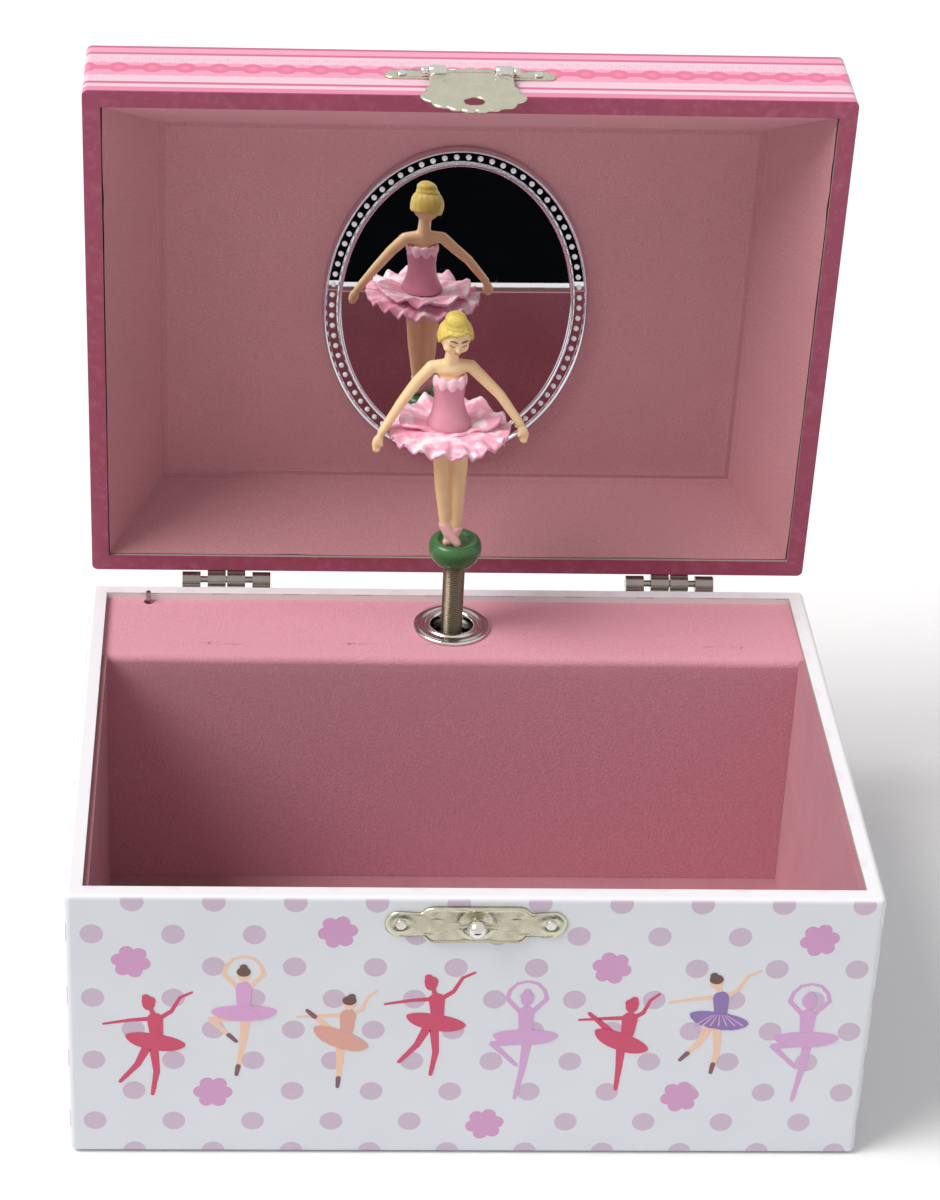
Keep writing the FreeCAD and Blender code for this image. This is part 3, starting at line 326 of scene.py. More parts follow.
def flat_place(finish, place, facing):
    """(u, v) on a card box's faces: sides use depth and height, tops use width and depth."""
    tree = finish.tree
    x, y, z = split(tree, place)
    sideways, _, upwards = split(tree, facing)
    side = calc(tree, "GREATER_THAN", calc(tree, "ABSOLUTE", sideways), 0.7)
    top = calc(tree, "GREATER_THAN", calc(tree, "ABSOLUTE", upwards), 0.7)
    across = wire(tree, "ShaderNodeMix", data_type="FLOAT")
    for index, value in ((0, side), (2, x), (3, y)):
        plug(tree, across.inputs[index], value)
    up = wire(tree, "ShaderNodeMix", data_type="FLOAT")
    for index, value in ((0, top), (2, z), (3, y)):
        plug(tree, up.inputs[index], value)
    return wire(tree, "ShaderNodeCombineXYZ", {"X": across.outputs[0], "Y": up.outputs[0]}).outputs[0]


# ---------- finishes ----------
def case_paper():
    """White wrap with pale mauve spots on every face, slightly glossy; its greyed paper stands in for shade on the
    upright faces and its tops are painted lighter.
    """
    finish = Finish("case_paper", 0.42, Coat_Weight=0.25, Coat_Roughness=0.3)
    tree = finish.tree
    grain = finish.group(PAPER_GRAIN)
    spots = finish.group(SPOTS, Place=flat_place(finish, finish.place, finish.facing),
                         Start=(-70.1, 7.8, 0.0)).outputs["Mask"]
    # Painted shade: the paper is a greyed white, darker than the real white card, so the upright faces read as
    # shaded.
    paper = tint(tree, stretch(tree, grain.outputs["Tone"], 0.0, 1.0), ink(208, 211, 217), ink(218, 221, 226))
    spot = tint(tree, grain.outputs["Tone"], ink(190, 170, 190), ink(200, 181, 199))
    # Painted light: faces turned up are mixed towards near-white so the tops read as lit.
    painted_top_light = soft_step(tree, split(tree, finish.facing)[2], 0.3, 0.9)
    sheet = tint(tree, calc(tree, "MULTIPLY", painted_top_light, 0.75), tint(tree, spots, paper, spot), ink(246, 243, 247))
    finish.colour(sheet)
    finish.rough(grain.outputs["Tone"], 0.36, 0.52)
    finish.bump(grain.outputs["Height"], 0.05, 0.35)
    return finish.material


def band(tree, z, low, high):
    """1 between two heights of the shut lid, with slightly soft printed edges."""
    soft = 0.05
    start = soft_step(tree, z, low - soft, low + soft)
    stop = soft_step(tree, z, high + soft, high - soft)
    return calc(tree, "MULTIPLY", start, stop)


def lid_paper():
    """The lid's wrap: pink bands, lace borders and a printed bead chain round the sides, spots on top."""
    finish = Finish("lid_paper", 0.4, Coat_Weight=0.3, Coat_Roughness=0.25)
    tree = finish.tree
    shut = finish.group(SHUT_LID, Facing=finish.facing)
    place = shut.outputs["Place"]
    along = flat_place(finish, place, shut.outputs["Facing"])
    u = split(tree, along)[0]
    x, y, z = split(tree, place)
    grain = finish.group(PAPER_GRAIN)
    pink, pale, rose = ink(232, 144, 176), ink(236, 196, 212), ink(190, 90, 128)
    colour = tint(tree, grain.outputs["Tone"], pink, ink(242, 162, 192))
    for low, high, shade in ((80.4, 81.35, rose), (77.35, 78.3, ink(205, 96, 134)), (75.9, 77.35, pale),
                             (65.1, 67.9, pale), (64.1, 65.1, ink(205, 96, 134)), (62.7, 64.1, pale),
                             (60.0, 62.7, ink(226, 128, 164))):
        colour = tint(tree, band(tree, z, low, high), colour, shade)
    for low, high in ((74.0, 75.9), (66.5, 67.9)):
        holes = wire(tree, "ShaderNodeTexVoronoi", {"Scale": 1.25, "Randomness": 0.35}, feature="F1")
        tree.links.new(wire(tree, "ShaderNodeCombineXYZ", {"X": u, "Y": z}).outputs[0], holes.inputs["Vector"])
        thread = soft_step(tree, holes.outputs["Distance"], 0.18, 0.42)
        scallop = calc(tree, "MULTIPLY", calc(tree, "ABSOLUTE", calc(tree, "SINE", calc(
            tree, "MULTIPLY", u, math.pi / 3.25))), 0.5)
        edge = calc(tree, "ADD", z, scallop)
        lace = calc(tree, "MULTIPLY", band(tree, edge, low, high + 0.3), stretch(tree, thread, 0.35, 0.95))
        colour = tint(tree, lace, colour, pale)
    cell = calc(tree, "SUBTRACT", calc(tree, "FLOORED_MODULO", u, 6.5), 3.25)
    bead = wire(tree, "ShaderNodeCombineXYZ", {"X": cell, "Y": calc(tree, "SUBTRACT", z, 71.45)}).outputs[0]
    away = vec(tree, "LENGTH", bead).outputs["Value"]
    chain = calc(tree, "MAXIMUM", soft_step(tree, away, 2.2, 2.05), band(tree, z, 70.45, 72.35))
    colour = tint(tree, chain, colour, ink(226, 106, 146))
    colour = tint(tree, soft_step(tree, away, 1.3, 0.5), colour, ink(234, 124, 160))
    top = finish.group(SPOTS, Place=place, Start=(0.0, 3.0, 0.0), Radius=2.0).outputs["Mask"]
    edge_x = calc(tree, "SUBTRACT", 75.0, calc(tree, "ABSOLUTE", x))
    edge_y = calc(tree, "SUBTRACT", 55.0, calc(tree, "ABSOLUTE", y))
    inset = calc(tree, "MINIMUM", edge_x, edge_y)
    inside = soft_step(tree, inset, 7.9, 8.1)
    field = tint(tree, calc(tree, "MULTIPLY", top, inside), pink, pale)
    for low, high, shade in ((2.0, 2.8, rose), (4.2, 7.2, pale), (5.2, 6.2, rose)):
        field = tint(tree, band(tree, inset, low, high), field, shade)
    colour = tint(tree, soft_step(tree, z, 81.9, 82.0), colour, field)
    finish.colour(colour)
    finish.rough(grain.outputs["Tone"], 0.32, 0.5)
    finish.bump(grain.outputs["Height"], 0.05, 0.3)
    return finish.material


def rim_paper():
    """Deep magenta binding paper, creased and rubbed paler where fingers lift the lid."""
    finish = Finish("rim_paper", 0.42, Coat_Weight=0.2, Coat_Roughness=0.35)
    tree = finish.tree
    grain = finish.group(PAPER_GRAIN)
    rub = finish.group(METAL_MARKS).outputs["Rub"]
    colour = tint(tree, grain.outputs["Tone"], ink(140, 46, 76), ink(162, 64, 96))
    finish.colour(tint(tree, calc(tree, "MULTIPLY", rub, 0.25), colour, ink(206, 120, 152)))
    finish.rough(grain.outputs["Tone"], 0.34, 0.55)
    finish.bump(grain.outputs["Height"], 0.06, 0.4)
    return finish.material


def backing_paper():
    """Plain off-white sheet glued under the case."""
    finish = Finish("backing_paper", 0.7)
    grain = finish.group(PAPER_GRAIN, Tooth=2.0)
    finish.colour(tint(finish.tree, grain.outputs["Tone"], ink(226, 222, 218), ink(240, 238, 234)))
    finish.rough(grain.outputs["Tone"], 0.6, 0.8)
    finish.bump(grain.outputs["Height"], 0.08, 0.5)
    return finish.material


def greyboard():
    """Raw pulp board, grey-brown with darker flecks."""
    finish = Finish("greyboard", 0.85)
    tree = finish.tree
    grain = finish.group(PAPER_GRAIN, Tooth=1.6)
    fleck = soft_step(tree, fine_noise(tree, finish.place, 1.9, 3.0, 0.7), 0.6, 0.7)
    colour = tint(tree, grain.outputs["Tone"], ink(150, 140, 128), ink(182, 172, 158))
    finish.colour(tint(tree, calc(tree, "MULTIPLY", fleck, 0.5), colour, ink(104, 94, 84)))
    finish.rough(grain.outputs["Height"], 0.75, 0.95)
    finish.bump(grain.outputs["Height"], 0.15, 0.6)
    return finish.material


def rose_flannel(name, low, high, brushed):
    """Short-napped flannel glued to card; the shade differs with how the nap lies."""
    finish = Finish(name, 0.92, Sheen_Weight=0.35, Sheen_Roughness=0.5, Sheen_Tint=ink(255, 205, 215))
    tree = finish.tree
    nap = finish.group(FLOCK)
    speck = soft_step(tree, nap.outputs["Tone"], 0.32, 0.68)
    colour = tint(tree, speck, low, high)
    patch = soft_step(tree, nap.outputs["Brushed"], 0.35, 0.7)
    finish.colour(tint(tree, calc(tree, "MULTIPLY", patch, 0.4), colour, brushed))
    finish.rough(nap.outputs["Tone"], 0.82, 1.0)
    finish.bump(nap.outputs["Height"], 0.16, 0.75)
    return finish.material


def plated(name, bright, dull, low, high, lines=(1.0, 14.0, 1.0), depth=0.03):
    """Plated or bare metal with drawn lines, small dents and duller rubbed spots."""
    finish = Finish(name, low, metallic=1.0)
    tree = finish.tree
    marks = finish.group(METAL_MARKS, Lines=lines)
    finish.colour(tint(tree, marks.outputs["Tarnish"], bright, dull))
    finish.rough(marks.outputs["Rub"], low, high)
    finish.bump(marks.outputs["Height"], depth, 0.35)
    return finish.material


def plastic(name, light, dark, low, high, peel=1.6, depth=0.04, top_highlight=None, **sockets):
    """Moulded plastic in one colour with a slow shade change, peel, scuffs and perhaps a painted highlight: a paler
    colour on noisy patches of the faces turned up.
    """
    finish = Finish(name, low, **sockets)
    tree = finish.tree
    skin = finish.group(MOULDED, Peel=peel)
    colour = tint(tree, skin.outputs["Tone"], dark, light)
    if top_highlight is not None:
        # Painted highlight: the paler colour is laid on noisy patches where the surface faces up.
        patch = soft_step(tree, fine_noise(tree, finish.place, 0.3, 2.0, 0.5), 0.42, 0.66)
        painted_top_light = soft_step(tree, split(tree, finish.facing)[2], 0.2, 0.85)
        colour = tint(tree, calc(tree, "MULTIPLY", patch, painted_top_light), colour, top_highlight)
    finish.colour(tint(tree, calc(tree, "MULTIPLY", skin.outputs["Scuff"], 0.12), colour, ink(240, 236, 230)))
    finish.rough(skin.outputs["Scuff"], low, high)
    finish.bump(skin.outputs["Height"], depth, 0.4)
    return finish.material


def mirror_glass():
    """Silvered glass: a clean reflection with a faint haze of dust and finger marks."""
    finish = Finish("mirror_glass", 0.015, metallic=1.0)
    tree = finish.tree
    haze = fine_noise(tree, finish.place, 0.16, 4.0, 0.6)
    finish.colour(tint(tree, haze, ink(225, 226, 228), ink(236, 236, 238)))
    finish.rough(soft_step(tree, haze, 0.5, 0.8), 0.006, 0.05)
    shut = finish.group(SHUT_LID, Facing=finish.facing)
    across, along, _ = split(tree, shut.outputs["Place"])
    bow = calc(tree, "MULTIPLY_ADD", across, -0.05, calc(tree, "MULTIPLY", along, 0.045))
    finish.bump(bow, 1.0)
    return finish.material


def printed_ink(name, shade, other):
    """One flat printed colour with the paper's tooth showing through."""
    finish = Finish(name, 0.42, Coat_Weight=0.25, Coat_Roughness=0.3)
    grain = finish.group(PAPER_GRAIN)
    finish.colour(tint(finish.tree, grain.outputs["Tone"], shade, other))
    finish.rough(grain.outputs["Tone"], 0.36, 0.52)
    finish.bump(grain.outputs["Height"], 0.04, 0.3)
    return finish.material


def strands(name, light, dark):
    """Moulded hair: combed grooves in a glossy painted cap, painted darker in the grooves and lighter on the crests
    as painted shade.
    """
    finish = Finish(name, 0.42, Coat_Weight=0.3, Coat_Roughness=0.2)
    tree = finish.tree
    skin = finish.group(MOULDED, Peel=2.0)
    combed = wire(tree, "ShaderNodeTexWave", {"Scale": 1.5, "Distortion": 3.0, "Detail": 2.0},
                  wave_type="BANDS", bands_direction="X")
    tree.links.new(finish.place, combed.inputs["Vector"])
    # Painted shade: the colour follows the grooves' height, darker in the grooves and lighter on the crests.
    finish.colour(tint(tree, combed.outputs["Fac"], dark, light))
    finish.rough(skin.outputs["Tone"], 0.32, 0.5)
    finish.bump(combed.outputs["Fac"], 0.12, 0.6)
    return finish.material


def table_top():
    """The plain pale floor."""
    finish = Finish("pale_floor", 0.75)
    grain = finish.group(PAPER_GRAIN, Tooth=0.6)
    finish.colour(tint(finish.tree, grain.outputs["Tone"], ink(246, 246, 247), ink(252, 252, 252)))
    finish.rough(grain.outputs["Tone"], 0.7, 0.8)
    return finish.material


CASE_PAPER = case_paper()
LID_PAPER = lid_paper()
RIM_PAPER = rim_paper()
BACKING_PAPER = backing_paper()
GREYBOARD = greyboard()
LINING = rose_flannel("rose_lining", ink(174, 117, 124), ink(202, 146, 152), ink(182, 126, 132))
# The deck and compartment wall flannels are one cloth: the deck copy is painted lighter (painted light) and the
# wall copy painted darker (painted shade).
LIT_DECK_FLANNEL = rose_flannel("rose_deck_painted_light", ink(206, 138, 153), ink(230, 166, 180), ink(216, 150, 165))
SHADED_WALL_FLANNEL = rose_flannel("rose_wall_painted_shade", ink(164, 106, 117), ink(192, 134, 145), ink(158, 100, 111))
NICKEL = plated("polished_nickel", ink(226, 224, 218), ink(206, 203, 196), 0.1, 0.24)
# The hinge copy of the nickel is darkened to stand in for the dark reflections on the knuckles: painted reflection.
DARK_REFLECTION_HINGE_NICKEL = plated("hinge_nickel_painted_dark_reflection", ink(168, 160, 152), ink(136, 128, 120), 0.16, 0.3)
WARM_NICKEL = plated("warm_nickel", ink(214, 211, 190), ink(192, 188, 166), 0.26, 0.42, (8.0, 8.0, 1.5), 0.05)
SPRING_STEEL = plated("spring_steel", ink(150, 139, 120), ink(118, 107, 90), 0.24, 0.38)
STEEL = plated("bright_steel", ink(190, 192, 194), ink(160, 162, 166), 0.25, 0.42)
BRASS = plated("brass", ink(214, 178, 98), ink(182, 146, 74), 0.22, 0.4)
ZINC = plated("zinc_casting", ink(176, 178, 180), ink(146, 148, 152), 0.42, 0.6, (3.0, 3.0, 3.0), 0.08)
GREEN_PLASTIC = plastic("green_plastic", ink(62, 116, 60), ink(46, 98, 46), 0.34, 0.5, Coat_Weight=0.15)
FAN_PLASTIC = plastic("fan_plastic", ink(232, 228, 218), ink(214, 209, 198), 0.4, 0.55)
CHROME_PLASTIC = plated("silvered_plastic", ink(226, 225, 230), ink(206, 205, 211), 0.04, 0.12,
                        (2.0, 2.0, 2.0), 0.006)
# The silver beads get a near-white non-metal colour that stands in for their glint: painted highlight.
GLINT_WHITE_BEADS = plastic("bead_painted_glint", ink(246, 246, 249), ink(232, 232, 236), 0.2, 0.3, 1.6, 0.01, Coat_Weight=0.6)
MIRROR_GLASS = mirror_glass()
SKIN = plastic("doll_skin", ink(244, 212, 168), ink(232, 190, 138), 0.42, 0.55, Coat_Weight=0.12)
HAIR = strands("doll_hair", ink(242, 218, 112), ink(208, 178, 66))
BODICE = plastic("bodice_paint", ink(218, 148, 166), ink(204, 130, 150), 0.45, 0.58, Coat_Weight=0.1)
# The tutu's last, paler pink is a painted highlight on the faces turned up.
TUTU = plastic("tutu_paint", ink(248, 184, 205), ink(234, 154, 180), 0.36, 0.52, 1.2, 0.1, ink(255, 236, 243),
               Coat_Weight=0.25)
FROST = plastic("tutu_frosting", ink(250, 212, 222), ink(240, 178, 198), 0.34, 0.5, 1.2, 0.08, Coat_Weight=0.25)
SHOE = plastic("shoe_paint", ink(240, 186, 184), ink(230, 168, 166), 0.4, 0.5)
BROW = plastic("brow_paint", ink(112, 92, 46), ink(92, 74, 36), 0.5, 0.6)
LIP = plastic("lip_paint", ink(206, 128, 120), ink(192, 112, 106), 0.4, 0.5)
INKS = {
    "rose": printed_ink("rose_ink", ink(192, 54, 92), ink(204, 66, 104)),
    "lilac": printed_ink("lilac_ink", ink(200, 152, 198), ink(208, 162, 204)),
    "skin": printed_ink("skin_ink", ink(226, 186, 160), ink(234, 196, 172)),
    "brown": printed_ink("brown_ink", ink(92, 62, 56), ink(108, 74, 66)),
    "peach": printed_ink("peach_ink", ink(206, 148, 134), ink(216, 160, 146)),
    "purple": printed_ink("purple_ink", ink(122, 98, 158), ink(142, 116, 176)),
    "mauve": printed_ink("mauve_ink", ink(204, 150, 196), ink(214, 162, 206)),
    "flower": printed_ink("flower_ink", ink(196, 142, 184), ink(204, 152, 192)),
    "slipper": printed_ink("slipper_ink", ink(112, 72, 84), ink(126, 84, 94)),
}


# ---------- making meshes, in millimetres ----------
def piece(name, points, faces, material, body=None, smooth=True, place=None):
    """A mesh piece from points in millimetres, riding on a body when one is named."""
    mesh = bpy.data.meshes.new(name)
    mesh.from_pydata([((place @ Vector(p)) if place else Vector(p)) * MM for p in points], [], faces)
    return finished(name, mesh, material, body, smooth)


def finished(name, mesh, material, body=None, smooth=True):
    """Cleans a mesh, turns its faces outwards, gives it its material and puts it in the scene."""
    build = bmesh.new()
    build.from_mesh(mesh)
    bmesh.ops.remove_doubles(build, verts=build.verts, dist=1e-6)
    bmesh.ops.recalc_face_normals(build, faces=build.faces)
    build.to_mesh(mesh)
    build.free()
    mesh.materials.clear()
    mesh.materials.append(material)
    for face in mesh.polygons:
        face.use_smooth = smooth
    made = bpy.data.objects.new(name, mesh)
    bpy.context.scene.collection.objects.link(made)
    if body:
        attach(made, body)
    return made


def baked(made):
    """Turns an object's modifiers into a plain mesh."""
    depsgraph = bpy.context.evaluated_depsgraph_get()
    mesh = bpy.data.meshes.new_from_object(made.evaluated_get(depsgraph), depsgraph=depsgraph)
    bpy.data.objects.remove(made)
    return mesh


def wrap(faces, start, rings, count):
    """Quads between each closed ring of points and the next."""
    for j in range(rings - 1):
        a, b = start + j * count, start + (j + 1) * count
        for k in range(count):
            ahead = (k + 1) % count
            faces.append((a + k, a + ahead, b + ahead, b + k))


def wrap_both_ways(faces, start, stations, rows):
    """Quads of a closed outline of rows points, carried round a closed loop of stations."""
    for k in range(stations):
        here, there = start + k * rows, start + (k + 1) % stations * rows
        for j in range(rows):
            up = (j + 1) % rows
            faces.append((here + j, there + j, there + up, here + up))


def turned(name, profile, centre, material, body):
    """A closed (radius, height) outline turned about an upright axis through centre."""
    points, faces = [], []
    rows, steps = len(profile), 72
    for k in range(steps):
        angle = 2 * math.pi * k / steps
        for radius, height in profile:
            points.append((centre.x + radius * math.cos(angle), centre.y + radius * math.sin(angle), height))
    wrap_both_ways(faces, 0, steps, rows)
    return piece(name, points, faces, material, body)


def grown(name, tree, sizes, material, seed_mesh=None):
    """Runs a Geometry Nodes tree with its named sizes filled in and returns the plain mesh."""
    mesh = seed_mesh or bpy.data.meshes.new(name)
    holder = bpy.data.objects.new(name + "_grown", mesh)
    bpy.context.scene.collection.objects.link(holder)
    modifier = holder.modifiers.new("grow", "NODES")
    modifier.node_group = tree
    named = {item.name: item.identifier for item in tree.interface.items_tree if item.in_out == "INPUT"}
    for size, value in sizes.items():
        modifier[named[size]] = value
    if "Finish" in named:
        modifier[named["Finish"]] = material
    return baked(holder)


def grower(name, inputs):
    """An empty Geometry Nodes tree with named inputs, a Finish input and one geometry output."""
    tree = bpy.data.node_groups.new(name, "GeometryNodeTree")
    tree.interface.new_socket(name="Base", in_out="INPUT", socket_type="NodeSocketGeometry")
    for socket, kind, value in inputs:
        tree.interface.new_socket(name=socket, in_out="INPUT", socket_type=kind).default_value = value
    tree.interface.new_socket(name="Finish", in_out="INPUT", socket_type="NodeSocketMaterial")
    tree.interface.new_socket(name="Shape", in_out="OUTPUT", socket_type="NodeSocketGeometry")
    return tree, tree.nodes.new("NodeGroupInput"), tree.nodes.new("NodeGroupOutput")


def close_tree(tree, given, out, shape):
    """Ends a Geometry Nodes tree: real geometry with its material set."""
    real = wire(tree, "GeometryNodeRealizeInstances", {"Geometry": shape})
    dressed = wire(tree, "GeometryNodeSetMaterial", {"Geometry": real.outputs[0],
                                                     "Material": given.outputs["Finish"]})
    tree.links.new(dressed.outputs[0], out.inputs["Shape"])


def round_ball(around=14, rows=9):
    """Points and faces of a unit ball."""
    points = [Vector((0, 0, 1))]
    for j in range(1, rows):
        polar = math.pi * j / rows
        for k in range(around):
            angle = 2 * math.pi * k / around
            points.append(Vector((math.sin(polar) * math.cos(angle), math.sin(polar) * math.sin(angle),
                                  math.cos(polar))))
    points.append(Vector((0, 0, -1)))
    faces = []
    for k in range(around):
        ahead = (k + 1) % around
        faces.append((0, 1 + k, 1 + ahead))
        for j in range(rows - 2):
            a, b = 1 + j * around, 1 + (j + 1) * around
            faces.append((a + k, b + k, b + ahead, a + ahead))
        foot = 1 + (rows - 2) * around
        faces.append((foot + k, len(points) - 1, foot + ahead))
    return points, faces


BALL_POINTS, BALL_FACES = round_ball()


def moulded(name, balls, voxel, rounds, material, body=None):
    """Melts overlapping balls (centre, radii, turn) into one moulded shape."""
    points, faces = [], []
    for centre, radii, turn in balls:
        grow = turn.to_matrix() @ Matrix.Diagonal(radii)
        start = len(points)
        points += [(Vector(centre) + grow @ spot) * MM for spot in BALL_POINTS]
        faces += [tuple(start + k for k in face) for face in BALL_FACES]
    mesh = bpy.data.meshes.new(name)
    mesh.from_pydata(points, [], faces)
    holder = bpy.data.objects.new(name + "_soft", mesh)
    bpy.context.scene.collection.objects.link(holder)
    melt = holder.modifiers.new("melt", "REMESH")
    melt.mode = "VOXEL"
    melt.voxel_size = voxel * MM
    ease = holder.modifiers.new("ease", "SMOOTH")
    ease.factor = 0.5
    ease.iterations = rounds
    return finished(name, baked(holder), material, body)


STRAIGHT = Euler((0, 0, 0))


def limb(joints, step=0.42):
    """Balls along a limb through joints given as (point, radius)."""
    balls = []
    for (a, ra), (b, rb) in zip(joints, joints[1:]):
        a, b = Vector(a), Vector(b)
        count = max(1, math.ceil((b - a).length / step))
        for k in range(count + 1):
            t = k / count
            radius = ra + (rb - ra) * t
            balls.append((a.lerp(b, t), (radius, radius, radius), STRAIGHT))
    return balls


# ---------- the case ----------
def cover_card():
    """Flannel-covered card over the movement: flat deck, soft front fold, eyelet hole and stop-wire hole."""
    low, high = corners("movement_cover")
    thick, bend = 1.2, 1.7
    outer = [(high.y, high.z), (high.y - 9, high.z), (high.y - 18, high.z), (low.y + bend + 4, high.z)]
    for k in range(9):
        turn = math.radians(90 * k / 8)
        outer.append((low.y + bend - bend * math.sin(turn), high.z - bend + bend * math.cos(turn)))
    outer += [(low.y, high.z - bend - step) for step in (3, 10, 20, 32, 45)]
    outer.append((low.y, low.z))
    inner = []
    for k, (y, z) in enumerate(outer):
        lean = min(max((k - 3) / 9, 0), 1) * math.pi / 2
        inner.append((y + thick * math.sin(lean), z - thick * math.cos(lean)))
    ring = outer + inner[::-1]
    stations = 72
    points, faces = [], []
    for s in range(stations + 1):
        x = low.x + (high.x - low.x) * s / stations
        for k, (y, z) in enumerate(ring):
            near = math.exp(-((z - high.z) / 6) ** 2) * math.exp(-((y - low.y) / 6) ** 2)
            sway = noise.noise(Vector((x * 0.06, y * 0.05, z * 0.05))) * 0.16
            points.append((x, y - abs(sway) * near * 0.6 + 0.1, z - 0.12 + sway * near))
    count = len(ring)
    wrap(faces, 0, stations + 1, count)
    half = len(outer)
    for s in (0, stations):
        a = s * count
        for k in range(half - 1):
            faces.append((a + k, a + k + 1, a + count - 2 - k, a + count - 1 - k))
    card = piece("cover_card_blank", points, faces, LIT_DECK_FLANNEL)
    tip = Vector((corners("stop_wire")[0].x, corners("stop_wire")[1].y - 0.6, 0.0))
    holes = bmesh.new()
    for x, y, radius in ((POST.x, POST.y, 5.5), (tip.x + 0.6, tip.y, 1.1)):
        bmesh.ops.create_cone(holes, cap_ends=True, segments=48, radius1=radius * MM, radius2=radius * MM,
                              depth=6 * MM, matrix=Matrix.Translation(Vector((x, y, high.z)) * MM))
    mesh = bpy.data.meshes.new("cover_card_punch")
    holes.to_mesh(mesh)
    holes.free()
    punch = bpy.data.objects.new("cover_card_punch", mesh)
    bpy.context.scene.collection.objects.link(punch)
    cut = card.modifiers.new("punch", "BOOLEAN")
    cut.operation = "DIFFERENCE"
    cut.solver = "EXACT"
    cut.object = punch
    shaped = baked(card)
    bpy.data.objects.remove(punch)
    made = finished("cover_card", shaped, LIT_DECK_FLANNEL, "case")
    mark_edges(made, 40)
    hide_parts("movement_cover")


def mark_edges(made, degrees):
    """Keeps edges sharper than this angle crisp on a smooth-shaded piece."""
    build = bmesh.new()
    build.from_mesh(made.data)
    for edge in build.edges:
        if len(edge.link_faces) == 2 and edge.calc_face_angle(0) > math.radians(degrees):
            edge.smooth = False
    build.to_mesh(made.data)
    build.free()


def eyelet():
    """Rolled metal ring round the post: a wide flange, a groove and a raised inner lip."""
    low, high = corners("eyelet")
    outer = (high.x - low.x) / 2 + 0.5
    top = high.z
    bore = 4.3
    profile = [(bore, low.z), (bore, top - 1.1), (bore + 0.1, top - 0.5), (bore + 0.35, top - 0.12),
               (bore + 0.7, top), (bore + 1.05, top - 0.1), (bore + 1.25, top - 0.34),
               (bore + 1.4, top - 0.44), (bore + 1.6, top - 0.36), (bore + 1.85, top - 0.2),
               (outer - 0.35, top - 0.26), (outer - 0.1, top - 0.45), (outer, top - 0.8),
               (outer - 0.08, top - 1.05), (outer - 0.5, top - 1.05), (bore + 0.5, top - 1.1),
               (bore + 0.4, top - 1.5), (bore + 0.35, low.z)]
    made = turned("eyelet_ring", profile, middle("eyelet"), NICKEL, "case")
    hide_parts("eyelet")


def reach_of(shapes, direction):
    """How far a ray from the middle stays inside a union of shapes.

    The shapes are circles ("o", x, z, r) and boxes ("b", x0, z0, x1, z1).
    """
    dx, dz = direction
    best = 0.0
    for shape in shapes:
        if shape[0] == "o":
            _, cx, cz, r = shape
            along = cx * dx + cz * dz
            gap = r * r - (cx * cx + cz * cz - along * along)
            if gap > 0:
                best = max(best, along + math.sqrt(gap))
        else:
            _, x0, z0, x1, z1 = shape
            near, far = 0.0, 1e9
            for low, high, step in ((x0, x1, dx), (z0, z1, dz)):
                if abs(step) < 1e-9:
                    if low > 0 or high < 0:
                        near = 1e9
                    continue
                enter, leave = sorted((low / step, high / step))
                near, far = max(near, enter), min(far, leave)
            if far >= near:
                best = max(best, far)
    return best


def pressed_plate(name, shapes, centre, face, thick, aspect, relief, hole, material, place=None):
    """A stamped plate: an outline about its centre, raised relief on the front and a rolled rim.

    centre is (x, z) and face the y of the plate's front; relief(x, z, rim) gives how far each point stands out.
    """
    spokes, rings = 168, 20
    wide, tall = aspect
    reaches, ways = [], []
    for k in range(spokes):
        angle = 2 * math.pi * k / spokes
        dx, dz = wide * math.cos(angle), tall * math.sin(angle)
        size = math.hypot(dx, dz)
        ways.append((dx / size, dz / size))
        reaches.append(reach_of(shapes, ways[-1]))
    smooth = [(reaches[k - 1] + 2 * reaches[k] + reaches[(k + 1) % spokes]) / 4 for k in range(spokes)]
    points, faces = [], []
    for r in range(rings + 1):
        share = (r / rings) ** 0.8
        for k in range(spokes):
            away = hole + (smooth[k] - hole) * share
            x, z = centre[0] + ways[k][0] * away, centre[1] + ways[k][1] * away
            rim = smooth[k] - away
            roll = 0.16 * math.exp(-((rim - 0.35) / 0.3) ** 2) - 0.22 * math.exp(-(rim / 0.12) ** 2)
            points.append((x, face - relief(x, z, rim) - roll, z))
    front = len(points)
    for share in (1.0, 0.0):
        for k in range(spokes):
            away = hole + (smooth[k] - hole) * share
            x, z = centre[0] + ways[k][0] * away, centre[1] + ways[k][1] * away
            points.append((x, face + thick, z))
    wrap(faces, 0, rings + 3, spokes)
    last = front + spokes
    if hole > 0:
        for k in range(spokes):
            ahead = (k + 1) % spokes
            faces.append((last + k, last + ahead, ahead, k))
    return piece(name, points, faces, material, None, True, place)


def curl(points, faces, x0, x1, y, z, radius):
    """A rolled metal loop lying along x, open at the ends, with a thick wall."""
    start = len(points)
    profile = [(x0, radius - 0.45), (x0, radius - 0.1), (x0 + 0.12, radius), (x1 - 0.12, radius),
               (x1, radius - 0.1), (x1, radius - 0.45)]
    rows, steps = len(profile), 20
    for k in range(steps):
        angle = 2 * math.pi * k / steps
        for x, r in profile:
            points.append((x, y + r * math.cos(angle), z + r * math.sin(angle)))
    wrap_both_ways(faces, start, steps, rows)


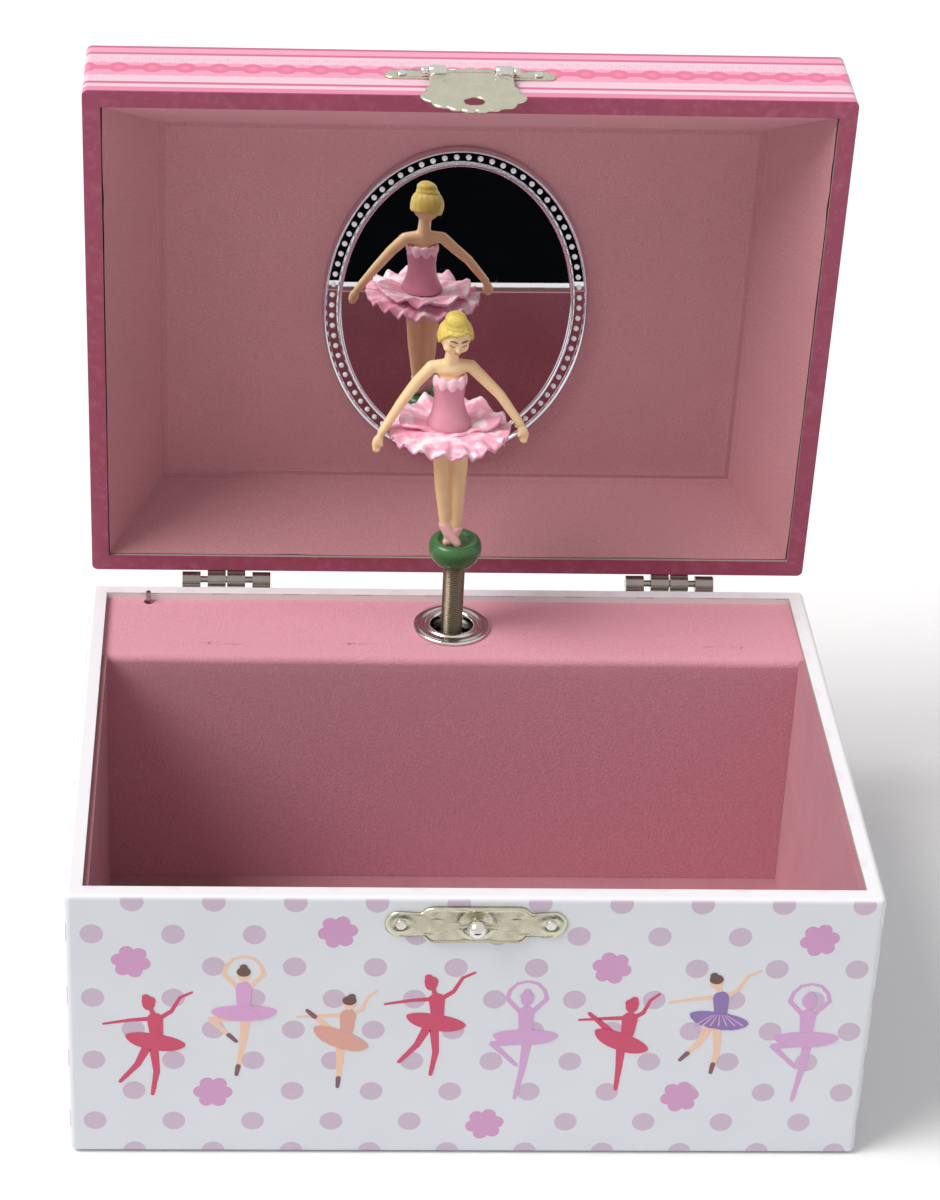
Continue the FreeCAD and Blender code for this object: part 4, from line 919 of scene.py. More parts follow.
def catch():
    """Pressed catch plate on the front wall with a dished boss and a bright ball."""
    low, high = corners("catch_plate")
    ball_low, ball_high = corners("catch_knob")
    mid_z = (low.z + high.z) / 2
    ball_z = (ball_low.z + ball_high.z) / 2
    ear = high.x - 3.0
    shapes = [("o", -ear, 0, 2.9), ("o", ear, 0, 2.9), ("b", -ear, -2.45, ear, 2.45), ("b", -7.6, -3.9, 7.6, 3.9),
              ("o", -7.6, 1.0, 2.9), ("o", 7.6, 1.0, 2.9), ("o", -7.6, -1.0, 2.9), ("o", 7.6, -1.0, 2.9)]

    def relief(x, z, _rim):
        out = 0.1
        step = 1 / (1 + math.exp((abs(x) - 8.6) * 2.2))
        out += 0.3 * step
        out += 0.1 * step * math.cos(x * 1.55) * math.exp(-((z - mid_z) / 3.4) ** 2)
        boss = math.hypot(x, z - ball_z)
        out += 0.2 * math.exp(-((boss - 3.0) / 0.45) ** 2) - 0.3 * math.exp(-(boss / 2.1) ** 2)
        nail = math.hypot(abs(x) - ear, z - mid_z)
        out -= 0.3 * math.exp(-(nail / 0.75) ** 2)
        out += 0.12 * math.exp(-((nail - 1.5) / 0.5) ** 2)
        return out

    plate = pressed_plate("catch_plate_pressed", shapes, (0, mid_z), high.y - 0.42, 0.4, (2.6, 1), relief, 0,
                          WARM_NICKEL)
    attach(plate, "case")
    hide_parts("catch_plate")
    radius = (ball_high.x - ball_low.x) / 2
    centre_y = ball_low.y + radius
    points, faces = [], []
    profile = [(0, -radius)]
    for k in range(1, 15):
        turn = math.pi * k / 18
        profile.append((radius * math.sin(turn), -radius * math.cos(turn)))
    profile += [(0.75, radius * 0.93), (0.75, high.y - centre_y), (0, high.y - centre_y)]
    rows, steps = len(profile), 40
    for k in range(steps):
        angle = 2 * math.pi * k / steps
        for r, out in profile:
            points.append((r * math.cos(angle), centre_y + out, ball_z + r * math.sin(angle)))
    for k in range(steps):
        ahead = (k + 1) % steps
        for j in range(rows - 1):
            faces.append((k * rows + j, ahead * rows + j, ahead * rows + j + 1, k * rows + j + 1))
    ball = piece("catch_ball", points, faces, NICKEL, "case")
    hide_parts("catch_knob")


def hasp():
    """The lid's pressed strap and the scalloped flap that swings on it, each with curled loops."""
    strap_z, loop_y, loop_z = 69.6, -56.45, 68.5
    strap_shapes = [("b", -14.9, -1.75, 14.9, 1.75), ("o", -14.9, 0, 1.85), ("o", 14.9, 0, 1.85),
                    ("b", -9.2, -1.6, 9.2, 1.9), ("o", 0, 0.6, 2.2), ("o", -4.6, 0.4, 1.9), ("o", 4.6, 0.4, 1.9),
                    ("o", -8.4, 1.0, 1.9), ("o", 8.4, 1.0, 1.9)]

    def strap_relief(x, z, _rim):
        nail = math.hypot(abs(x) - 14.4, z - strap_z)
        return 0.12 + 0.06 * math.cos(x * 2.1) - 0.2 * math.exp(-(nail / 0.6) ** 2)

    strap = pressed_plate("hasp_strap_pressed", strap_shapes, (0, strap_z), -55.36, 0.34, (4.2, 1), strap_relief, 0,
                          WARM_NICKEL, OPENED)
    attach(strap, "lid")
    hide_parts("hasp_strap")
    hole_z = 55.1
    flap_shapes = [("b", -8.2, -1.0, 8.2, 12.0), ("b", -4.3, 8.0, 4.3, 13.2),
                   ("o", -7.9, 2.1, 2.4), ("o", 7.9, 2.1, 2.4),
                   ("o", -7.6, 5.4, 1.5), ("o", 7.6, 5.4, 1.5), ("o", -6.0, -0.5, 2.3), ("o", 6.0, -0.5, 2.3),
                   ("o", -3.4, -2.0, 2.0), ("o", 3.4, -2.0, 2.0), ("o", -1.1, -2.7, 1.9), ("o", 1.1, -2.7, 1.9)]

    def flap_relief(x, z, rim):
        ray = math.atan2(x, 70.5 - z)
        fan = 0.09 * math.cos(ray * 30) * min(rim / 1.5, 1) * min(max((68.5 - z) / 4, 0), 1)
        ring = 0.14 * math.exp(-((math.hypot(x, z - hole_z) - 2.5) / 0.4) ** 2)
        return 0.12 + fan + ring

    flap = pressed_plate("hasp_flap_pressed", flap_shapes, (0, hole_z), -56.5, 0.26, (1, 1), flap_relief, 1.95,
                         WARM_NICKEL, OPENED)
    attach(flap, "hasp")
    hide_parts("hasp_flap")
    for name, spans, body, radius in (("flap_curls", ((-8.1, -4.8), (4.8, 8.1)), "hasp", 1.35),
                                      ("strap_curls", ((-9.6, -8.4), (8.4, 9.6)), "lid", 1.0)):
        points, faces = [], []
        for x0, x1 in spans:
            curl(points, faces, x0, x1, loop_y, loop_z, radius)
        made = piece(name, points, faces, NICKEL, body, True, OPENED)
        mark_edges(made, 50)


# ---------- printed decoration ----------
def flower_tree():
    """Six round petals and a heart instanced at each given point, turned by a seeded amount."""
    tree, given, out = grower("printed_flowers", [
        ("Petal Radius", "NodeSocketFloat", 0.0017), ("Petal Ring", "NodeSocketFloat", 0.0021),
        ("Petals", "NodeSocketInt", 6), ("Film", "NodeSocketFloat", 0.00004), ("Seed", "NodeSocketInt", 4)])
    ring = wire(tree, "GeometryNodeMeshCircle", {"Vertices": given.outputs["Petals"],
                                                 "Radius": given.outputs["Petal Ring"]})
    petal = wire(tree, "GeometryNodeMeshCylinder", {"Vertices": 20, "Radius": given.outputs["Petal Radius"],
                                                    "Depth": given.outputs["Film"]})
    heart = wire(tree, "GeometryNodeMeshCylinder", {"Vertices": 16, "Radius": given.outputs["Petal Ring"],
                                                    "Depth": given.outputs["Film"]})
    index = wire(tree, "GeometryNodeInputIndex")
    lift = calc(tree, "MULTIPLY_ADD", index.outputs[0], 0.05, 1.0)
    layered = wire(tree, "ShaderNodeCombineXYZ", {"X": 1.0, "Y": 1.0, "Z": lift})
    petals = wire(tree, "GeometryNodeInstanceOnPoints", {
        "Points": ring.outputs[0], "Instance": petal.outputs[0], "Scale": layered.outputs[0]})
    raised = wire(tree, "GeometryNodeTransform", {"Geometry": heart.outputs[0], "Scale": (1.0, 1.0, 1.4)})
    joined = wire(tree, "GeometryNodeJoinGeometry")
    tree.links.new(petals.outputs[0], joined.inputs[0])
    tree.links.new(raised.outputs[0], joined.inputs[0])
    spin = wire(tree, "FunctionNodeRandomValue", data_type="FLOAT")
    plug(tree, spin.inputs[2], 0.0)
    plug(tree, spin.inputs[3], 1.2)
    tree.links.new(given.outputs["Seed"], spin.inputs["Seed"])
    turn = wire(tree, "ShaderNodeCombineXYZ", {"Z": spin.outputs[1]})
    bed = wire(tree, "GeometryNodeInstanceOnPoints", {"Points": given.outputs["Base"],
                                                      "Instance": joined.outputs[0], "Rotation": turn.outputs[0]})
    close_tree(tree, given, out, bed.outputs[0])
    return tree


def flowers(front):
    """Mauve flowers scattered among the spots on the front."""
    where = [(-63.0, 45.3), (-25.2, 52.3), (-47.9, 14.8), (3.6, 7.2), (25.5, 44.4), (40.3, 14.0), (63.4, 51.0)]
    tree = flower_tree()
    stand_up = Matrix.Translation((0, front * MM, 0)) @ Matrix.Rotation(math.radians(90), 4, "X")
    mesh = bpy.data.meshes.new("flower_places")
    mesh.from_pydata([(x * MM, z * MM, 0) for x, z in where], [], [])
    shape = grown("printed_flowers", tree, {"Petal Radius": 1.4 * MM, "Petal Ring": 2.3 * MM, "Film": 0.04 * MM},
                  INKS["flower"], mesh)
    shape.transform(stand_up)
    finished("printed_flowers", shape, INKS["flower"], "case", False)


def disc_outline(x, z, wide, tall, steps=18):
    """An oval's outline."""
    turns = [2 * math.pi * k / steps for k in range(steps)]
    return [(x + wide * math.cos(turn), z + tall * math.sin(turn)) for turn in turns]


def skirt_outline(x, z, wide, tall, tilt, frill):
    """A leaf-shaped skirt: pointed at both sides, fuller below, with small points along its lower edge."""
    spots = []
    for k in range(40):
        angle = 2 * math.pi * k / 40
        a = wide * math.copysign(abs(math.cos(angle)) ** 0.8, math.cos(angle))
        b = tall * math.copysign(abs(math.sin(angle)) ** 1.25, math.sin(angle))
        b *= 1.15 + frill * (k % 2) if b < 0 else 0.7
        spots.append((x + a * math.cos(tilt) - b * math.sin(tilt), z + a * math.sin(tilt) + b * math.cos(tilt)))
    return spots


def stroke_outlines(joints, start, end):
    """Overlapping discs and tapered bars along a limb drawn through joints."""
    shapes = []
    spans = len(joints) - 1
    for k in range(spans):
        (ax, az), (bx, bz) = joints[k], joints[k + 1]
        ra = start + (end - start) * k / spans
        rb = start + (end - start) * (k + 1) / spans
        length = math.hypot(bx - ax, bz - az)
        nx, nz = -(bz - az) / length, (bx - ax) / length
        shapes.append([(ax + nx * ra, az + nz * ra), (ax - nx * ra, az - nz * ra), (bx - nx * rb, bz - nz * rb),
                       (bx + nx * rb, bz + nz * rb)])
        shapes.append(disc_outline(ax, az, ra, ra, 12))
        shapes.append(disc_outline(bx, bz, rb, rb, 12))
    return shapes


STEP_POSES = {
    "leap": {"head": (-0.2, 8.0), "bun": (-0.7, 9.4), "left_arm": [(0.0, 4.4), (-3.6, 4.1), (-8.6, 3.2)],
             "right_arm": [(1.9, 4.6), (4.0, 6.2), (5.6, 9.4), (7.8, 10.6)], "waist": (1.2, 0.8),
             "left_leg": [(-0.2, -1.4), (-2.4, -6.4), (-5.6, -10.4)],
             "right_leg": [(0.6, -1.4), (1.2, -8.0), (0.4, -13.4)], "skirt": (1.0, -0.6, 5.7, 2.0, -0.2)},
    "ring": {"head": (0.0, 8.6), "bun": (0.0, 10.2),
             "left_arm": [(-1.1, 5.6), (-3.7, 8.7), (-3.2, 10.6), (-1.9, 12.2), (-0.1, 12.7)],
             "right_arm": [(1.1, 5.6), (3.7, 8.7), (3.2, 10.6), (1.9, 12.2), (0.1, 12.7)], "waist": (0.0, 1.2),
             "left_leg": [(-1.2, -1.2), (-5.9, -2.0), (-1.3, -7.0)],
             "right_leg": [(0.5, -1.4), (-0.1, -8.0), (-1.2, -14.9)], "skirt": (0.1, 0.1, 6.1, 1.9, 0.0)},
    "reach": {"head": (2.2, 7.0), "bun": (2.6, 8.4), "left_arm": [(1.4, 4.2), (-2.8, 4.0), (-7.4, 3.7)],
              "right_arm": [(2.6, 4.2), (4.4, 5.4), (5.6, 8.4), (7.2, 9.8)], "waist": (1.8, 0.6),
              "left_leg": [(-0.4, -0.6), (-2.6, 2.2), (-5.6, 5.2)],
              "right_leg": [(0.8, -2.2), (0.7, -7.6), (0.4, -12.8)], "skirt": (0.8, -1.0, 5.6, 2.1, -0.42)},
}


def printed_dancer(shapes, pose, x, z, limbs, dress, skirt, hair):
    """Adds one small printed dancer's shapes, each with its ink and how far its film stands proud."""
    plan = STEP_POSES[pose]

    def put(spots, paint, level):
        shapes.setdefault(paint, []).append(([(x + a, z + b) for a, b in spots], level))

    for part, start, end in (("left_leg", 0.95, 0.34), ("right_leg", 0.95, 0.34), ("left_arm", 0.5, 0.24),
                             ("right_arm", 0.5, 0.24)):
        for spots in stroke_outlines(plan[part], start, end):
            put(spots, limbs, 0.03)
        (ax, az), (bx, bz) = plan[part][-2:]
        if part.endswith("leg"):
            share = 2.0 / math.hypot(bx - ax, bz - az)
            shoe = [(bx + (ax - bx) * share, bz + (az - bz) * share), (bx, bz)]
            for spots in stroke_outlines(shoe, 0.5, 0.36):
                put(spots, "slipper" if limbs == "skin" else limbs, 0.06)
    hx, hz = plan["head"]
    wx, wz = plan["waist"]
    sx = (plan["left_arm"][0][0] + plan["right_arm"][0][0]) / 2
    sz = (plan["left_arm"][0][1] + plan["right_arm"][0][1]) / 2
    for spots in stroke_outlines([(sx, sz), (hx, hz)], 0.5, 0.4):
        put(spots, limbs, 0.06)
    put(disc_outline(hx, hz, 1.2, 1.55), limbs, 0.09)
    put(disc_outline(plan["bun"][0], plan["bun"][1], 0.75, 0.7), hair, 0.15)
    put(disc_outline(hx, hz + 0.6, 1.3, 1.05), hair, 0.12)
    for spots in stroke_outlines([(sx, sz - 0.2), (wx, wz), (plan["skirt"][0], plan["skirt"][1])], 1.5, 0.95):
        put(spots, dress, 0.09)
    kx, kz, wide, tall, tilt = plan["skirt"]
    put(skirt_outline(kx, kz, wide, tall, tilt, 0.07 if limbs != dress else 0.0), skirt, 0.12)
    if skirt in ("mauve", "purple"):
        for k in range(-3, 4):
            fold = [(kx + 0.45 * k, kz + 0.9), (kx + 1.5 * k, kz - 0.75 * tall)]
            for spots in stroke_outlines(fold, 0.08, 0.16):
                put(spots, "lilac", 0.15)


def printed_row(front):
    """Eight little dancers across the front, drawn as thin films of ink."""
    shapes = {}
    row = (("leap", -59.6, 27.7, "rose", "rose", "rose", "rose"),
           ("ring", -42.3, 33.9, "skin", "mauve", "mauve", "brown"),
           ("reach", -24.9, 29.0, "skin", "peach", "peach", "brown"),
           ("leap", -7.5, 32.6, "rose", "rose", "rose", "rose"),
           ("ring", 10.2, 28.5, "lilac", "lilac", "lilac", "lilac"),
           ("reach", 27.6, 28.6, "rose", "rose", "rose", "rose"),
           ("leap", 45.3, 33.3, "skin", "purple", "purple", "brown"),
           ("ring", 62.9, 28.2, "lilac", "lilac", "lilac", "lilac"))
    for pose, x, z, limbs, dress, skirt, hair in row:
        printed_dancer(shapes, pose, x, z, limbs, dress, skirt, hair)
    for paint, outlines in shapes.items():
        points, faces = [], []
        for k, (spots, level) in enumerate(outlines):
            start, count = len(points), len(spots)
            step = (k % 9) * 0.003
            points += [(a, front - level - step, b) for a, b in spots]
            points += [(a, front + 0.03 + step, b) for a, b in spots]
            faces.append(tuple(range(start, start + count)))
            faces.append(tuple(range(start + 2 * count - 1, start + count - 1, -1)))
            for j in range(count):
                up = (j + 1) % count
                faces.append((start + j, start + count + j, start + count + up, start + up))
        piece("printed_dancers_" + paint, points, faces, INKS[paint], "case", False)


# ---------- the lid ----------
def lid_lining():
    """The flannel tray in the lid: four slanted walls, pressed double creases and a flat panel."""
    per_side = 26
    steps = ([(t, 0.0, 0.0) for t in (0.0, 0.015, 0.12, 0.3, 0.5, 0.7, 0.86, 0.925)]
             + [(0.94, 0.22, 0.0), (0.955, 0.05, 0.0), (0.985, 0.0, 0.0), (1.0, 0.0, 0.0)]
             + [(1.0, 0.18, 0.9), (1.0, 0.0, 1.5), (1.0, 0.0, 5.0), (1.0, 0.0, 12.0), (1.0, 0.0, 22.0),
                (1.0, 0.0, 32.0), (1.0, 0.0, 39.0)])

    def ring(t, ridge, inset, back):
        half = 71.4 + (60.4 - 71.4) * t - inset
        y0, y1 = -51.4 + 12.0 * t + inset, 51.4 - 8.6 * t - inset
        z = 61.3 + (LINING_PANEL - 61.3) * t - ridge
        spots = []
        for sx, sy, ex, ey in ((-half, y0, half, y0), (half, y0, half, y1), (half, y1, -half, y1),
                               (-half, y1, -half, y0)):
            for k in range(per_side):
                share = k / per_side
                x, y = sx + (ex - sx) * share, sy + (ey - sy) * share
                sway = noise.noise(Vector((x * 0.045, y * 0.045, t * 1.4)))
                curl = noise.noise(Vector((x * 0.11, y * 0.11, 7.0))) * max(0, 1 - t * 12)
                shrink = 1 - 0.004 * abs(curl) - 0.0012 * (1 + sway) * (t < 0.9)
                spots.append((x * shrink, y * shrink, z + 0.1 * sway * (t > 0) + 0.25 * abs(curl)
                              + (0.42 if back else 0.0)))
        return spots

    points, faces = [], []
    layers = []
    for back in (False, True):
        starts = []
        for t, ridge, inset in steps:
            starts.append(len(points))
            points += ring(t, 0.0 if back else ridge, inset, back)
        layers.append(starts)
    count = per_side * 4
    for starts in layers:
        wrap(faces, starts[0], len(starts), count)
        faces.append(tuple(range(starts[-1], starts[-1] + count)))
    for k in range(count):
        up = (k + 1) % count
        a, b = layers[0][0], layers[1][0]
        faces.append((a + k, b + k, b + up, a + up))
    made = piece("lid_lining_tray", points, faces, LINING, "lid", True, OPENED)
    mark_edges(made, 24)
    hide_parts("lid_liner")


def bead_tree():
    """Small beads set evenly round an oval."""
    tree, given, out = grower("mirror_beads", [
        ("Half Width", "NodeSocketFloat", 0.0255), ("Half Height", "NodeSocketFloat", 0.0341),
        ("Beads", "NodeSocketInt", 78), ("Bead Radius", "NodeSocketFloat", 0.00055),
        ("Middle", "NodeSocketVector", (0.0, 0.0, 0.0))])
    ring = wire(tree, "GeometryNodeCurvePrimitiveCircle", {"Resolution": 256, "Radius": 1.0})
    size = wire(tree, "ShaderNodeCombineXYZ", {"X": given.outputs["Half Width"],
                                               "Y": given.outputs["Half Height"], "Z": 1.0})
    oval = wire(tree, "GeometryNodeTransform", {"Geometry": ring.outputs[0], "Scale": size.outputs[0],
                                                "Translation": given.outputs["Middle"]})
    even = wire(tree, "GeometryNodeResampleCurve", {"Curve": oval.outputs[0], "Count": given.outputs["Beads"]})
    bead = wire(tree, "GeometryNodeMeshUVSphere", {"Segments": 10, "Rings": 6,
                                                   "Radius": given.outputs["Bead Radius"]})
    strung = wire(tree, "GeometryNodeInstanceOnPoints", {"Points": even.outputs[0], "Instance": bead.outputs[0]})
    close_tree(tree, given, out, strung.outputs[0])
    return tree


def oval_hoop(name, outline, material, smooth):
    """A hoop round the mirror; its outline gives (inwards from the rim, proud of the lining)."""
    steps = 160
    points, faces = [], []
    for k in range(steps):
        angle = 2 * math.pi * k / steps
        for inward, proud in outline:
            points.append(((MIRROR_HALF[0] - inward) * math.cos(angle),
                           MIRROR_Y + (MIRROR_HALF[1] - inward) * math.sin(angle), LINING_PANEL - proud))
    wrap_both_ways(faces, 0, steps, len(outline))
    made = piece(name, points, faces, material, "lid", smooth, OPENED)
    return made


def mirror():
    """The silvered frame: outer roll, beaded channel and polished inner lip, with the beads in it."""
    ring = oval_hoop("mirror_ring", (
        (0.0, 0.02), (0.0, 0.9), (0.14, 1.4), (0.42, 1.66), (0.75, 1.5), (0.95, 1.1), (1.1, 0.92), (2.95, 0.92),
        (3.1, 1.2), (3.25, 1.75), (3.5, 2.05), (3.75, 1.9), (3.95, 1.5), (4.05, 1.36), (4.05, 0.02)),
        CHROME_PLASTIC, True)
    mark_edges(ring, 62)
    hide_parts("mirror_frame")
    oval_hoop("mirror_channel", ((1.05, 0.5), (1.05, 0.96), (3.02, 0.96), (3.02, 0.5)), MIRROR_GLASS, False)
    beads = grown("mirror_beads", bead_tree(), {
        "Half Width": 25.55 * MM, "Half Height": 34.15 * MM, "Beads": 78, "Bead Radius": 0.58 * MM,
        "Middle": (0.0, MIRROR_Y * MM, (LINING_PANEL - 0.98) * MM)}, GLINT_WHITE_BEADS)
    beads.transform(OPENED_METRES)
    made = finished("mirror_beads", beads, GLINT_WHITE_BEADS, "lid")


# ---------- post, stand and dancer ----------
def spring_tree():
    """A close-wound round-wire spring."""
    tree, given, out = grower("post_coil", [
        ("Turns", "NodeSocketFloat", 26.0), ("Coil Radius", "NodeSocketFloat", 0.00195),
        ("Wire Radius", "NodeSocketFloat", 0.0003), ("Length", "NodeSocketFloat", 0.0148),
        ("Foot", "NodeSocketVector", (0.0, 0.0, 0.0))])
    helix = wire(tree, "GeometryNodeCurveSpiral", {
        "Resolution": 30, "Rotations": given.outputs["Turns"], "Start Radius": given.outputs["Coil Radius"],
        "End Radius": given.outputs["Coil Radius"], "Height": given.outputs["Length"]})
    section = wire(tree, "GeometryNodeCurvePrimitiveCircle", {"Resolution": 8,
                                                              "Radius": given.outputs["Wire Radius"]})
    coil = wire(tree, "GeometryNodeCurveToMesh", {"Curve": helix.outputs[0], "Profile Curve": section.outputs[0],
                                                  "Fill Caps": True})
    placed = wire(tree, "GeometryNodeTransform", {"Geometry": coil.outputs[0],
                                                  "Translation": given.outputs["Foot"]})
    close_tree(tree, given, out, placed.outputs[0])
    return tree


def post():
    """The wound steel post that carries the dancer, made as an upright coil; on the real box it folds when the lid
    shuts.
    """
    low, high = corners("post_spring")
    high.z += 1.2
    wire_r = 0.22
    mesh = grown("post_coil", spring_tree(), {
        "Turns": (high.z - low.z) / (2 * wire_r) - 1.0, "Coil Radius": ((high.x - low.x) / 2 - wire_r) * MM,
        "Wire Radius": wire_r * MM, "Length": (high.z - low.z - 2 * wire_r) * MM,
        "Foot": Vector((POST.x, POST.y, low.z + wire_r)) * MM}, SPRING_STEEL)
    made = finished("post_coil", mesh, SPRING_STEEL)
    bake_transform(made)
    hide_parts("post_spring")


def stand():
    """The dancer's rounded green stand with a hollowed top and the plug that fits the post."""
    low, high = corners("dancer_stand")
    top, under = high.z, high.z - 5.9
    profile = [(0.0, top - 1.1), (1.6, top - 1.08), (2.6, top - 0.95), (3.2, top - 0.6), (3.6, top - 0.2),
               (4.0, top - 0.02), (4.5, top - 0.1), (5.0, top - 0.5), (5.32, top - 1.25), (5.42, top - 2.2),
               (5.3, top - 3.3), (4.85, top - 4.4), (4.1, top - 5.25), (3.2, under + 0.15), (2.4, under),
               (1.6, under), (1.6, low.z + 0.3), (1.4, low.z), (0.0, low.z)]
    made = turned("dancer_stand_moulded", profile, POST, GREEN_PLASTIC, "dancer")
    mark_edges(made, 60)
    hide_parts("dancer_stand")


def on_dancer(across, front, height):
    """A point beside the dancer's upright axis: across to the viewer's right, front towards the viewer."""
    return Vector((POST.x + across, POST.y - front, height))


HEAD_AT = (-1.95, 1.2, 126.3)
HEAD_TURN = Euler((math.radians(20), math.radians(4), math.radians(13)))


def on_head(across, front, up):
    """A point fixed to the tilted head."""
    return on_dancer(*HEAD_AT) + HEAD_TURN.to_matrix() @ Vector((across, -front, up))


def dancer_body():
    """The dancer's legs, trunk, arms, hands and tilted head in one moulding."""
    balls = []
    for hip, knee, ankle, toe in (((-3.7, 0.3, 102), (-3.2, 0.5, 92.5), (-2.4, 0.6, 84.8), (-1.4, 1.2, 79.8)),
                                  ((0.0, 0.3, 102), (0.0, 0.4, 92.5), (-0.05, 0.5, 84.8), (-0.5, 0.9, 79.8))):
        balls += limb([(on_dancer(*hip), 2.0), (on_dancer(*knee), 1.62), (on_dancer(*ankle), 1.3),
                       (on_dancer(*toe), 0.9)])
    for at, radii in (((-2.2, 0, 103.5), (3.1, 2.4, 3.0)), ((-2.6, 0, 111.5), (2.5, 1.9, 3.2)),
                      ((-2.7, 0.1, 115.6), (3.2, 2.1, 2.8)), ((-2.65, 0.15, 118.5), (3.5, 1.75, 1.5))):
        balls.append((on_dancer(*at), radii, STRAIGHT))
    balls += limb([(on_dancer(-6.3, 0, 118.9), 1.25), (on_dancer(-2.6, 0.1, 119.3), 1.5),
                   (on_dancer(1.5, 0, 119.1), 1.25)])
    balls += limb([(on_dancer(-2.6, 0.0, 119.3), 1.5), (on_dancer(-2.3, 0.5, 123.0), 1.35)])
    balls.append((on_head(0, 0, 0), (3.15, 3.15, 3.3), HEAD_TURN))
    balls.append((on_head(0, 1.0, -1.9), (2.15, 1.9, 1.6), HEAD_TURN))
    balls.append((on_head(0, 2.0, -2.75), (1.05, 0.9, 0.75), HEAD_TURN))
    for side in (-1, 1):
        balls.append((on_head(1.35 * side, 1.6, -1.3), (1.3, 1.3, 1.2), HEAD_TURN))
        balls.append((on_head(1.15 * side, 2.35, 0.75), (1.0, 0.6, 0.35), HEAD_TURN))
    balls += limb([(on_head(0, 2.9, 0.4), 0.3), (on_head(0, 3.45, -0.95), 0.46)], 0.2)
    balls.append((on_head(0, 2.75, -1.95), (0.62, 0.4, 0.3), HEAD_TURN))
    left = [(on_dancer(-6.4, 0.1, 118.8), 1.28), (on_dancer(-9.2, 0.4, 115.6), 1.18),
            (on_dancer(-12.2, 1.0, 111.2), 1.06), (on_dancer(-15.9, 2.1, 105.1), 0.9)]
    right = [(on_dancer(1.6, 0.1, 119.0), 1.28), (on_dancer(4.4, 0.4, 116.2), 1.18),
             (on_dancer(7.5, 1.0, 113.2), 1.06), (on_dancer(11.6, 2.1, 107.6), 0.9)]
    balls += limb(left) + limb(right)
    for wrist, lean in ((on_dancer(-15.9, 2.1, 105.1), -1), (on_dancer(11.6, 2.1, 107.6), 1)):
        palm = wrist + Vector((0.75 * lean, -0.3, -2.0))
        balls.append((palm, (1.12, 0.8, 1.85), Euler((0, math.radians(-16 * lean), 0))))
        for spread, length in ((-0.5, 3.6), (-0.05, 3.9), (0.4, 3.7)):
            tip = wrist + Vector((0.95 * lean + spread, -0.75, -length))
            balls += limb([(palm + Vector((spread, 0, -0.6)), 0.42), (tip, 0.36)], 0.22)
        thumb = palm + Vector((-0.95 * lean, -0.6, -0.5))
        balls += limb([(palm + Vector((-0.3 * lean, -0.3, 0.5)), 0.42), (thumb, 0.33)], 0.22)
    made = moulded("dancer_skin", balls, 0.24, 3, SKIN, "dancer")
    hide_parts("dancer_figure")


def dancer_hair():
    """The combed hair cap with a side-swept fringe, a parting and a bun on top."""
    points, faces = [], []
    across, down = 56, 30
    for j in range(down + 1):
        polar = math.radians(2 + 124 * j / down)
        for k in range(across):
            angle = 2 * math.pi * k / across
            facing = max(0.0, -math.sin(angle))
            arch = min(facing * 1.18, 1.0)
            hairline = math.radians(124 - 70 * arch * arch * (3 - 2 * arch) - 9 * facing * math.cos(angle))
            theta = min(polar, hairline)
            comb = 0.06 * math.sin(angle * 14 + 3 * theta) + 0.05 * math.sin(angle * 23 - 5 * theta)
            edge = 0.22 * math.exp(-((theta - hairline + 0.12) / 0.16) ** 2)
            part = -0.28 * math.exp(-((angle - 4.9) / 0.1) ** 2) * math.exp(-((theta - 0.55) / 0.4) ** 2)
            grow = 1.07 + (comb + edge + part) / 3.3 - 0.1 * (polar > hairline)
            x, y, z = math.sin(theta) * math.cos(angle), math.sin(theta) * math.sin(angle), math.cos(theta)
            points.append(tuple(on_head(3.3 * grow * x, -3.35 * grow * y - 0.2, 3.3 * grow * z + 0.3)))
    for j in range(down):
        for k in range(across):
            ahead = (k + 1) % across
            a, b = j * across, (j + 1) * across
            faces.append((a + k, b + k, b + ahead, a + ahead))
    faces.append(tuple(range(across)))
    faces.append(tuple(range(down * across + across - 1, down * across - 1, -1)))
    piece("dancer_hair_cap", points, faces, HAIR, "dancer")
    balls = [(on_head(-0.2, -0.4, 2.9), (2.6, 2.6, 1.4), HEAD_TURN),
             (on_head(-0.5, -0.6, 3.9), (2.25, 2.2, 1.5), HEAD_TURN),
             (on_head(-0.7, -0.7, 4.5), (1.6, 1.6, 1.0), HEAD_TURN)]
    moulded("dancer_bun", balls, 0.2, 2, HAIR, "dancer")


def dancer_face():
    """Painted brows, lowered lids and lips."""
    brows, lips = [], []
    for side in (-1, 1):
        brows += limb([(on_head(0.5 * side, 3.02, 1.0), 0.14), (on_head(1.15 * side, 2.88, 1.22), 0.18),
                       (on_head(1.85 * side, 2.42, 1.0), 0.12)], 0.1)
        brows += limb([(on_head(0.6 * side, 2.95, -0.02), 0.1), (on_head(1.15 * side, 2.86, -0.22), 0.13),
                       (on_head(1.75 * side, 2.5, -0.02), 0.1)], 0.1)
    lips += limb([(on_head(-0.5, 2.98, -1.95), 0.12), (on_head(0, 3.18, -1.98), 0.22),
                  (on_head(0.5, 2.98, -1.95), 0.12)], 0.1)
    moulded("dancer_brows", brows, 0.08, 1, BROW, "dancer")
    moulded("dancer_lips", lips, 0.08, 1, LIP, "dancer")


def lofted(name, rings, material, steps=64):
    """A closed body through oval rings: each gives (across, front, height, half width, half depth, dip)."""
    points, faces = [], []
    for across, front, height, wide, deep, dip in rings:
        for k in range(steps):
            angle = 2 * math.pi * k / steps
            lower = dip * max(0.0, -math.sin(angle)) ** 2
            points.append(tuple(on_dancer(across + wide * math.cos(angle), front - deep * math.sin(angle),
                                          height - lower)))
    wrap(faces, 0, len(rings), steps)
    faces.append(tuple(range(steps)))
    faces.append(tuple(range(len(points) - 1, len(points) - steps - 1, -1)))
    return piece(name, points, faces, material, "dancer")


